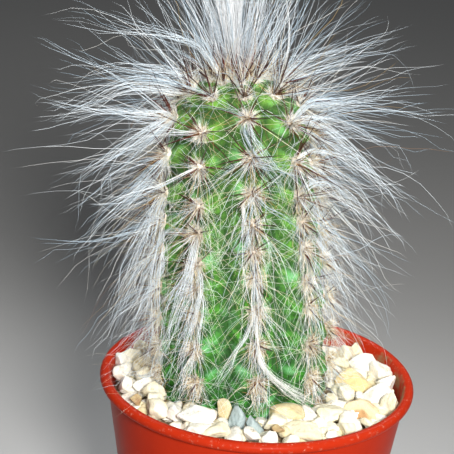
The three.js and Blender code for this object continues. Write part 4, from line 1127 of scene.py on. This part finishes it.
# Locks that stand out: the kind, the rib and areole that they grow from, counted from 0, how many
# strands, their width, how they gather at the tip, their tone, and the points that they follow. The
# points' depths along Y come first, with even steps between them where two are given, then their X and Z.
clearLocks = {
    "matted": ("hanging", 0, 2, 53, 0.36, 0.75, 0.22, (-30.5, -31.5, -31, -30.3, -29, -28, -26.5),
        [(-0.8, 106.4), (-0.2, 104.1), (2.1, 100.7), (6, 96.9), (11.7, 92.9), (16.5, 89.9), (20.1, 88.2)]),
    "crossing": ("hanging", 0, 2, 11, 0.7, 0.6, 0.14, (-29.5, -31, -32, -32, -31.5),
        [(-5, 110.6), (-7.5, 106.6), (-9.5, 101.7), (-11.9, 96.3), (-14.1, 91.6)]),
    "topLeft": ("free", 8, 10, 18, 1.6, 0.4, 0.04, (-6, -7, -8, -8, -8, -8, -7),
        [(-22.4, 191.6), (-27.8, 194.8), (-37.4, 197.1), (-43.3, 197.9), (-52.9, 200.4), (-60.5, 201.9),
         (-68.5, 203.3)]),
    "rightThick": ("free", 1, 8, 17, 1.6, 0.6, 0.02, (-15, -15, -15, -15, -14, -13),
        [(9.6, 179.6), (14.2, 180.2), (21.9, 181.6), (29.4, 182.3), (37.1, 183), (46.3, 184)]),
    "rightSplit": ("free", 1, 8, 8, 1.2, 0.3, 0.02, (-15, -15, -15, -16, -16, -16, -16),
        [(9.6, 179.3), (22, 181), (31.4, 182.2), (36.9, 182), (41, 181), (44.9, 179.5), (49.3, 177.9)]),
    "rightUp": ("free", 2, 9, 8, 1.6, 0.2, 0.04, (-4, -5, -6, -6, -6, -6, -6),
        [(8.2, 186.9), (13.9, 189.9), (19.5, 192.2), (25.2, 193.7), (31, 194.8), (34.6, 196.6),
         (39.4, 198.7)]),
    "leftBand": ("free", 7, 8, 26, 4.5, 0.3, 0.02, (-11, -23),
        [(-31.4, 169.6), (-34.2, 167.7), (-37, 165.2), (-40.3, 162.6), (-43.7, 160.4), (-47, 157.8),
         (-50.3, 155.3), (-53.6, 152.4), (-56.9, 149.6), (-60.8, 147)]),
    "blueLock": ("free", 0, 7, 9, 1.8, -0.4, -0.02, (-23.1, -23.9, -24, -23.6, -23, -22.7, -22.8),
        [(-9.7, 163), (-12.2, 161.9), (-14.9, 159.7), (-17.7, 156.9), (-19.9, 153.5), (-21.7, 149.6),
         (-23, 145.9)]),
    "faceLock": ("hanging", 0, 8, 21, 2.4, -0.4, 0.0, (-20.3, -22.3, -23.1, -22.6, -21.9, -21.4, -21),
        [(-8.8, 172.8), (-7.2, 169.6), (-4.6, 166.1), (-1.5, 162.2), (1.1, 158.5), (3.4, 154.1),
         (5.8, 149.2)]),
    "faceBranch": ("free", 0, 8, 6, 1.0, 0.4, 0.04, (-24, -21),
        [(-6.4, 171.9), (-4.1, 167.2), (-1.6, 163.9), (2.6, 161.6), (7.1, 159.9), (11.5, 158.5),
         (17, 156.2), (21.6, 153.3)]),
    "leftHigh": ("free", 7, 9, 20, 2.6, 0.3, 0.06, (-7, -14),
        [(-29.7, 180.2), (-34.5, 181.4), (-40.3, 181.9), (-45.5, 181.2), (-50, 179.3), (-54, 176.6),
         (-57.4, 174.8), (-62.5, 173.5), (-68.8, 172.2)]),
    "leftWave": ("free", 7, 8, 16, 2.0, 0.6, 0.04, (-10, -12),
        [(-33.4, 172.3), (-38.1, 172.1), (-43.4, 172.4), (-48.6, 172.5), (-53.9, 173.1), (-58, 173.9),
         (-63.3, 174.8), (-68, 175.8), (-73.9, 178)]),
    "leftWaveLow": ("free", 7, 8, 12, 2.2, 0.1, 0.08, (-10, -15),
        [(-34.5, 171.3), (-40.4, 171.1), (-45.6, 171.6), (-51.4, 171.2), (-56.6, 169.5), (-61.8, 167.9),
         (-67.5, 166.2), (-73.3, 164.3)]),
    "leftHang": ("free", 7, 6, 16, 3.0, 0.1, 0.03, (-16, -18, -19, -19, -18, -17, -16),
        [(-33.3, 143.8), (-33.8, 139.9), (-35.3, 131.1), (-38.4, 121.2), (-42, 113.1), (-45.2, 105.8),
         (-47.2, 99.6)]),
    "rightHang": ("free", 1, 5, 9, 2.2, 0.0, 0.08, (-20, -20, -18, -15),
        [(17.7, 136.1), (22.3, 130), (27.2, 120.1), (30.5, 110.8)]),
    "leftFallOuter": ("hanging", 8, 5, 18, 2.2, 0.2, 0.06, (-14, -18, -21, -22, -22, -23, -22),
        [(-30.9, 136.1), (-32.4, 131.8), (-33.5, 126.2), (-33.7, 117.9), (-33.6, 108.1), (-34.5, 101.2),
         (-36.4, 94)]),
    "leftFallMiddle": ("hanging", 8, 5, 13, 2.2, 0.3, 0.08, (-27, -28, -28, -28, -28, -27),
        [(-22, 134), (-23.8, 124.2), (-26.1, 114.5), (-28.4, 106.2), (-30.5, 98.5), (-32.7, 91.9)]),
    "leftFallInner": ("hanging", 8, 4, 11, 1.7, 0.3, 0.12, (-29, -31, -32, -33, -34),
        [(-19.1, 124.9), (-21, 116.1), (-22.9, 107.4), (-24, 100.6), (-24.9, 94.5)]),
    "leftOutLow": ("free", 7, 5, 13, 2.4, 0.0, 0.06, (-12, -15, -17, -18, -18, -18),
        [(-35.5, 139), (-38.7, 132.6), (-41.5, 125.1), (-43.9, 117.2), (-45.8, 108.9), (-47.1, 100.5)]),
    "leftOutMid": ("free", 7, 6, 17, 3.0, 0.0, 0.04, (-12, -15, -17, -18, -18, -18),
        [(-36.5, 150.7), (-41.5, 146.7), (-46.6, 142), (-51.4, 137), (-56.3, 130.3), (-59.8, 124.3)]),
    "rightUpHigh": ("free", 2, 9, 8, 2.0, 0.4, 0.04, (0, 0),
        [(6.5, 187.9), (15.1, 191.5), (23.8, 193.8), (32.5, 196.2), (39.5, 197.5)]),
    "rightCurl": ("free", 2, 8, 6, 1.4, 0.5, 0.04, (-5, -8, -10, -10, -9, -9),
        [(13.2, 175), (21.7, 178.1), (30, 182.8), (36.9, 187.5), (40.9, 192.2), (41.9, 193.8)]),
    "rightFall": ("free", 1, 4, 12, 1.6, 0.2, 0.2, (-19, -22, -24, -24, -24),
        [(12.6, 128.5), (16, 121.9), (20, 115.5), (24.9, 109.9), (27.3, 106.1)]),
    "single": ("free", 1, 4, 1, 0.1, 0.0, 0.05, (-18, -22, -24, -25, -25, -26, -26),
        [(17.8, 133), (25.1, 136.9), (30.9, 141.6), (36.8, 145.5), (40.4, 146.9), (46.2, 150.8),
         (49.8, 152.8)]),
    "leftHighLow": ("free", 7, 9, 14, 2.0, 0.2, 0.06, (-8, -16),
        [(-29.6, 178.7), (-35.5, 179.8), (-41.3, 180), (-47, 178.4), (-52.1, 176), (-56.7, 174.4),
         (-61.2, 172.3), (-65.7, 169.9), (-69.1, 167.9)]),
    "leftTop": ("free", 6, 9, 12, 1.8, 0.2, 0.04, (3, -4),
        [(-27.8, 180.5), (-35, 182), (-42.8, 182.5), (-49.8, 181.8), (-56.2, 180.5), (-64.3, 178.9)]),
    "leftTopThin": ("free", 6, 9, 6, 2.0, 0.0, 0.08, (4, 0),
        [(-29.2, 181.7), (-38.2, 182.3), (-44.7, 182.3), (-51.9, 181.5), (-57.8, 181), (-64.3, 180.1),
         (-70.2, 180.6)]),
    "leftBandUpper": ("free", 7, 8, 8, 1.6, 0.2, 0.06, (-10, -18),
        [(-32.6, 168.7), (-36.5, 165.1), (-42.2, 161.5), (-47.4, 159.1), (-52.2, 157.7), (-57, 156.2),
         (-62.1, 154.2)]),
    "leftBandThin": ("free", 7, 8, 4, 1.2, 0.0, 0.1, (-10, -16),
        [(-32.6, 167.4), (-37.6, 162.5), (-45.1, 159.7), (-52.1, 156.5), (-57.8, 152.8), (-64.4, 149.7)]),
    "leftMid": ("free", 7, 7, 14, 2.4, 0.2, 0.04, (-11, -19),
        [(-33.8, 155.9), (-38.3, 151), (-43.4, 146.7), (-48.6, 143.4), (-52.6, 140.5), (-55.9, 137.6),
         (-58.7, 135)]),
    "leftLevel": ("free", 7, 8, 3, 1.0, 0.0, 0.1, (-10, -14),
        [(-32.6, 169.3), (-36.7, 167.7), (-43.1, 166), (-48.3, 165.3), (-54.7, 164.6), (-60.5, 163.5)]),
    "rightSlope": ("free", 1, 8, 9, 1.6, 0.3, 0.04, (-12, -18),
        [(8.6, 174.8), (14.4, 175.1), (20.3, 174.2), (25.4, 172), (30.8, 169.6), (35.4, 166.7),
         (39.1, 163.3), (42, 160)]),
    "rightSweep": ("free", 1, 8, 16, 2.2, 0.2, 0.02, (-13, -20),
        [(8.6, 174.2), (14.5, 172.6), (19.4, 169.8), (23.8, 166.3), (26.9, 163.1), (29.8, 159.8),
         (32.3, 157.2), (34.9, 153.5), (37.6, 149.3), (40, 144.7)]),
    "rightFan": ("free", 1, 7, 12, 2.0, 0.3, 0.04, (-13, -17),
        [(10.2, 164.8), (15.5, 164.7), (21.2, 162.7), (26.4, 159.5), (31.3, 156.9), (36.5, 155.3),
         (41.6, 153.6), (47, 152.2)]),
    "rightStreak": ("free", 1, 6, 13, 2.0, 0.3, 0.03, (-14, -19),
        [(12, 155), (17.9, 155.9), (23.4, 153.1), (27.1, 150.1), (31.2, 147.1), (35.3, 143.6), (39, 141.2),
         (42.8, 138.9)]),
    "rightFork": ("free", 1, 6, 4, 0.8, 0.2, 0.05, (-14, -17),
        [(12.1, 154.7), (17.3, 155.2), (21.9, 152.9), (25.9, 150.5), (30.2, 149.1), (34.9, 148.4)]),
    "rightHook": ("free", 2, 7, 5, 1.0, 0.2, 0.08, (-1, -9),
        [(14.8, 164.5), (20.3, 162.1), (28.2, 158.2), (33, 154.1), (36.7, 151.5), (39.9, 148.9),
         (41.9, 145.9), (42.8, 142.2)]),
    "rightLevel": ("free", 2, 8, 5, 1.2, 0.2, 0.08, (-1, -5),
        [(9.9, 173), (15.2, 170.8), (21.3, 168.6), (28.9, 166.8), (37.9, 166), (43.9, 165.7)]),
    "rightDrop": ("free", 1, 7, 9, 1.8, 0.1, 0.08, (-13, -19),
        [(9, 161), (12.6, 159.7), (17.9, 155.7), (22.6, 151), (26.8, 146.3), (30.5, 141.2), (33.4, 137)]),
    "leftOuterLong": ("hanging", 7, 5, 5, 1.0, 0.4, 0.02, (-14, -18, -20, -20, -20, -20),
        [(-32.2, 134.2), (-35.9, 128.4), (-40.3, 121.8), (-43.5, 110.5), (-46, 102.4), (-48.4, 97.6)]),
    "leftRim": ("hanging", 7, 4, 10, 1.6, 0.3, 0.04, (-14, -20, -24, -26, -27),
        [(-30.4, 127.2), (-34.2, 120.3), (-37.3, 113.6), (-40.5, 107.8), (-44.2, 102.4)]),
    "leftStraight": ("hanging", 8, 5, 8, 1.5, 0.4, 0.04, (-27, -29, -30, -31, -31),
        [(-22.6, 131), (-25.9, 123.8), (-27.8, 115.2), (-27.7, 107.6), (-28.8, 98.7)]),
    "leftFallFoot": ("hanging", 8, 3, 8, 1.3, 0.3, 0.12, (-28, -30, -32, -33, -34),
        [(-18.1, 121.4), (-18.3, 114.2), (-19.3, 107), (-20.1, 99.2), (-20.9, 93.1)]),
    "frontShort": ("hanging", 0, 6, 24, 0.7, 0.5, 0.22, (-24.3, -25.5, -26.2, -26.3, -26.3),
        [(-8.1, 151), (-7.6, 147.5), (-6.7, 143.1), (-5.3, 138.6), (-3.5, 134.3)]),
}


# Smooths a path through its points into equal steps.
def smoothed(points, count):
    points = np.array(points, float)
    padded = np.concatenate([[2 * points[0] - points[1]], points, [2 * points[-1] - points[-2]]])
    t = np.linspace(0, 1, 12, endpoint=False)[:, None]
    fine = np.concatenate([
        0.5 * (2 * b + (c - a) * t + (2 * a - 5 * b + 4 * c - d) * t ** 2 + (3 * b - a - 3 * c + d) * t ** 3)
        for a, b, c, d in zip(padded, padded[1:], padded[2:], padded[3:])
    ] + [points[-1:]])
    runs = np.append(0, np.cumsum(np.linalg.norm(np.diff(fine, axis=0), axis=1)))
    wanted = np.linspace(0, runs[-1], count)
    return np.stack([np.interp(wanted, runs, fine[:, n]) for n in range(3)], 1)


def makeClearLocks():
    random = np.random.default_rng(hair["lockSeed"])
    strands = Strands()
    for style, rib, row, number, width, gather, tone, depths, points in clearLocks.values():
        loose, shortest, wavy, stain = lockStyles[style]
        if len(depths) == 2:
            depths = np.round(np.linspace(*depths, len(points)), 1)
        root = Areole(rib, row).near(0.6)
        guide = smoothed([root, *((x, y, z) for (x, z), y in zip(points, depths))], 24)[None]
        paths = comb(guide, number, random, 14, width, gather, loose, shortest, wavy, root=0.4)
        tones = tone + random.uniform(-0.02, 0.16, len(paths))
        thick = hair["longRadius"] * random.uniform(0.55, 1.35, len(paths))
        strands.add(keptOut(paths, 0.2), thick, tones, random, stain=stain)
    return strands.piece("clearLocks", hairFinish)


settle(makeClearLocks(), "hair")
print("clear locks made")


spines = {
    "seed": 91, "number": (2, 3, 4, 5, 7, 8, 9, 10, 10, 9, 6),
    "length": (6, 6.5, 7.5, 8.5, 9.5, 10.5, 12, 14, 14.5, 13, 12), "radius": 0.28,
    # colours from root to tip
    "colours": [
        (0.0, (0.17, 0.045, 0.022)), (0.15, (0.10, 0.024, 0.014)), (0.45, (0.050, 0.012, 0.008)),
        (1.0, (0.010, 0.005, 0.004)),
    ],
}


def spineFinish(name, colours):
    finish = Finish(name, roughness=0.35)
    finish.feed("baseColor", finish.ramp(finish.mark("along"), colours))
    return finish


def spinesOfRib(rib):
    random = np.random.default_rng(spines["seed"] + rib)
    rods = Strands()
    for row in range(areoleCount):
        spot = Areole(rib, row)
        count = spines["number"][row]
        spin = random.uniform(0, fullTurn)
        clock = (spin + fullTurn * np.arange(count) / count + random.normal(0, 0.5, count))[:, None]
        lift = random.uniform(0.15, 1.3, count)[:, None]
        lift[0] = 2.0  # the first is the middle one, which stands out most
        if row >= areoleCount - 2:
            lift = lift + 0.9
        headings = unit(spot.around(clock) + lift * spot.outward)
        lengths = spines["length"][row] * random.uniform(0.5, 1.3, count)
        lengths[0] *= 1.15
        roots = spot.near(0.4) + headings * 0.5
        paths = grow(roots, headings, lengths, random, steps=5, droop=0.02, sway=0.10, gap=0.3, kinks=0.02)
        rods.add(paths, spines["radius"] * random.uniform(0.7, 1.15, count), 0.5, random, taper=0.85)
    return rods


pads = {
    "seed": 300, "halves": (1.2, 1.6, 2.1), "young": (0.95, 0.86, 0.76), "old": (0.46, 0.33, 0.21),
    "shade": (0.50, 0.36, 0.20),
}


def creamWool():
    finish = Finish("creamWool", roughness=0.9)
    woolly = finish.noise(2600.0, 6.0, 0.7)
    colour = finish.blend(finish.mark("age"), pads["young"], pads["old"])
    finish.feed("baseColor", finish.blend(finish.between(woolly, 0.35, 0.7) * 0.25, colour, pads["shade"]))
    finish.feed("normal", finish.bump(woolly, 0.8, 0.4))
    return finish


def padsOfRib(rib, finish):
    random = np.random.default_rng(pads["seed"] + rib)
    shapes, ages = [], []
    for row in range(areoleCount):
        spot = Areole(rib, row)
        heading, faces = ball(2)
        lumps = 1 + 0.10 * np.sin(heading @ unit(random.normal(size=3)) * 7 + random.uniform(0, 6))
        lumps += 0.08 * np.sin(heading @ unit(random.normal(size=3)) * 11 + random.uniform(0, 6))
        size = spot.scale * random.uniform(0.85, 1.15) * (0.72 if row < 3 else 1)
        local = heading * lumps[:, None] * np.array(pads["halves"]) * size
        points = spot.near(0.35 + local[:, :1], local[:, 1:2], local[:, 2:])
        shapes.append((points, faces, heading))
        ages.append(np.full(len(points), np.clip(0.95 - 1.3 * spot.growth, 0.02, 1)))
    marks = {"age": np.concatenate(ages)}
    points, faces = joinShapes(shapes)
    return makePiece(f"woolPads{rib + 1}", points, [], faces, finish, marks, stonePatches(shapes))


brownSpine = spineFinish("brownSpine", spines["colours"])
wool = creamWool()
for rib in range(plant["ribs"]):
    settle(spinesOfRib(rib).piece(f"ribSpines{rib + 1}", brownSpine), "hair")
    settle(padsOfRib(rib, wool), "hair")
print("spines and wool made")


crown = {
    "seed": 7, "height": 59.5, "radius": 0.068, "clean": (0.95, 0.96, 0.97), "blue": (0.34, 0.46, 0.56),
    "warm": (0.86, 0.62, 0.46), "woolReach": 6.2, "woolHairs": 420, "woolRadius": 0.08, "spines": 17,
    # for each tuft: how many wisps, hairs in each, root radius, least and most lean, shortest share, tone
    "tufts": [
        (28, 22, 0.9, 0.4, 4.2, 0.95, 0.0), (26, 6, 3.4, 9.0, 22.0, 0.84, 0.40),
        (26, 3, 3.6, 18.0, 40.0, 0.76, 0.7),
    ],
    # colours of its spines from root to tip
    "spineColours": [
        (0.0, (0.50, 0.20, 0.10)), (0.25, (0.30, 0.050, 0.020)), (0.6, (0.12, 0.018, 0.010)),
        (1.0, (0.02, 0.008, 0.006)),
    ],
}
apex = toWorld(np.array([0, 0, plant["top"] - 0.4]))
stemRight = leaning @ np.array([1.0, 0, 0])
stemBack = np.array([0, 1.0, 0])
tuftAxis = unit(stemAxis - 0.04 * stemRight)


def silk():
    finish = Finish("silk", roughness=0.30)
    nearRoot = finish.between(0.28 - finish.mark("along"), 0.0, 0.26)
    # outer tufts turn blue grey: painted shade on the white hair
    colour = finish.blend(finish.mark("tone"), crown["clean"], crown["blue"])
    finish.feed("baseColor", finish.blend(nearRoot * 0.9, colour, crown["warm"]))
    return finish


# Directions that lean from the tuft's axis by degrees, and where they point over the ground.
def leant(turn, slant):
    way = np.cos(turn)[:, None] * stemRight + np.sin(turn)[:, None] * stemBack
    slant = np.radians(slant)[:, None]
    return np.cos(slant) * tuftAxis + np.sin(slant) * way, way


# Places on the top of the stem, by their turn and distance from its axis and their height.
def onTop(turn, out, height):
    places = np.broadcast_arrays(out * np.cos(turn), out * np.sin(turn), height)
    return toWorld(np.stack(places, 1))


def makeCrown():
    random = np.random.default_rng(crown["seed"])
    strands = Strands()
    for wisps, hairs, reach, least, most, shortest, tone in crown["tufts"]:
        share = (np.arange(wisps) + 0.5) / wisps
        slant = (least + (most - least) * share ** 0.6) * random.uniform(0.8, 1.1, wisps)
        headings, way = leant(goldenTurn * np.arange(wisps), slant)
        roots = apex + way * reach * np.sqrt(share)[:, None] - stemAxis * (reach * share[:, None] * 0.3)
        lengths = crown["height"] * (1 - (1 - shortest) * share) * random.uniform(0.9, 1.0, wisps)
        droop, kinks = (0.012, 0.03) if tone else (0.0, 0.008)
        guides = grow(roots, headings, lengths, random, 14, droop, sway=0.08, gap=0.1, kinks=kinks)
        width = 0.5 + 0.9 * share
        paths = comb(guides, hairs, random, 11, width, gather=0.0, loose=0.3, shortest=0.6, wavy=1.0)
        tones = tone + random.uniform(*((-0.35, 0.3) if tone else (0.0, 0.12)), len(paths))
        strands.add(paths, crown["radius"], tones, random)
    return strands.piece("crownHair", silk())


# The young wool on the top of the stem, with its first spines standing in it.
def makeYoungWool():
    random = np.random.default_rng(crown["seed"] + 1)
    strands = Strands()
    count = crown["woolHairs"]
    turn = random.uniform(0, fullTurn, count)
    out = crown["woolReach"] * np.sqrt(random.uniform(0, 1, count))
    headings, _ = leant(turn, out * 5 + random.uniform(-8, 8, count))
    dome = plant["top"] - 0.5 - crestRadius(np.array(plant["shoulder"])) * 0.022 * (out / 6.5) ** 2
    lengths = random.uniform(3.5, 8.5, count)
    roots = onTop(turn, out, dome)
    paths = grow(roots, headings, lengths, random, steps=5, droop=0.1, sway=2.8, gap=0.05)
    strands.add(paths, crown["woolRadius"], random.uniform(0.34, 0.66, count), random)
    return strands.piece("youngWool", hairFinish)


def makeYoungSpines():
    random = np.random.default_rng(crown["seed"] + 2)
    rods = Strands()
    count = crown["spines"]
    turn = goldenTurn * np.arange(count)
    out = 1.4 + 4.6 * np.sqrt((np.arange(count) + 0.5) / count)
    headings, _ = leant(turn, out * 3.2 + random.uniform(-5, 5, count))
    lengths = random.uniform(9, 15, count)
    roots = onTop(turn, out, plant["top"] - 0.8)
    paths = grow(roots, headings, lengths, random, steps=5, droop=0.0, sway=0.1, gap=0.05, kinks=0.02)
    rods.add(paths, spines["radius"] * random.uniform(0.8, 1.1, count), 0.5, random, taper=0.9)
    return rods.piece("youngSpines", spineFinish("redSpine", crown["spineColours"]))


settle(makeCrown(), "silk", "crown_tuft")
settle(makeYoungWool(), "hair")
settle(makeYoungSpines(), "hair")
print("crown made")


studio = {
    "floor": (0.44, 0.44, 0.435), "specks": (0.52, 0.52, 0.52), "floorReach": 6000.0,
    "ambient": (0.92, 0.96, 1.0), "ambientStrength": 0.08,
    "lamps": [
        # name, place, aim, size, watts, spread in degrees, colour
        ("key", (120, -640, 430), (0, 0, 120), 150, 2.35, 90, (1.0, 0.98, 0.95)),
        ("leftBack", (-240, 420, 640), (-10, 0, 190), 240, 0.22, 50, (0.90, 0.96, 1.0)),
        ("rightBack", (260, 400, 620), (-10, 0, 190), 240, 0.22, 50, (0.96, 0.98, 1.0)),
        ("top", (0, -180, 850), (0, 0, 150), 360, 0.14, 50, (1.0, 1.0, 1.0)),
    ],
}


def paleFloor():
    finish = Finish("paleFloor", roughness=0.75)
    specks = finish.noise(35.0, 4.0, 0.6) * 0.10
    finish.feed("baseColor", finish.blend(specks, studio["floor"], studio["specks"]))
    return finish


def addLamp(name, place, aim, size, watts, spread, colour):
    lamp = bpy.data.lights.new(name, "AREA")
    lamp.size = size * millimetre
    lamp.energy = watts
    lamp.spread = math.radians(spread)
    lamp.color = colour
    holder = bpy.data.objects.new(name, lamp)
    holder.rotation_euler = (Vector(aim) - Vector(place)).to_track_quat("-Z", "Y").to_euler()
    holder.location = [n * millimetre for n in place]
    bpy.context.scene.collection.objects.link(holder)


floorCorners = studio["floorReach"] * np.array([(-1, -1, 0), (1, -1, 0), (1, 1, 0), (-1, 1, 0)])
floor = makePiece("floor", floorCorners, [(0, 1, 2, 3)], [], paleFloor())
for lamp in studio["lamps"]:
    addLamp(*lamp)
world = bpy.data.worlds.new("studio")
bpy.context.scene.world = world
world.use_nodes = True
sky = world.node_tree.nodes["Background"].inputs
sky["Color"].default_value = (*studio["ambient"], 1.0)
sky["Strength"].default_value = studio["ambientStrength"]
bpy.context.scene.view_settings.view_transform = "Standard"
print("light set")
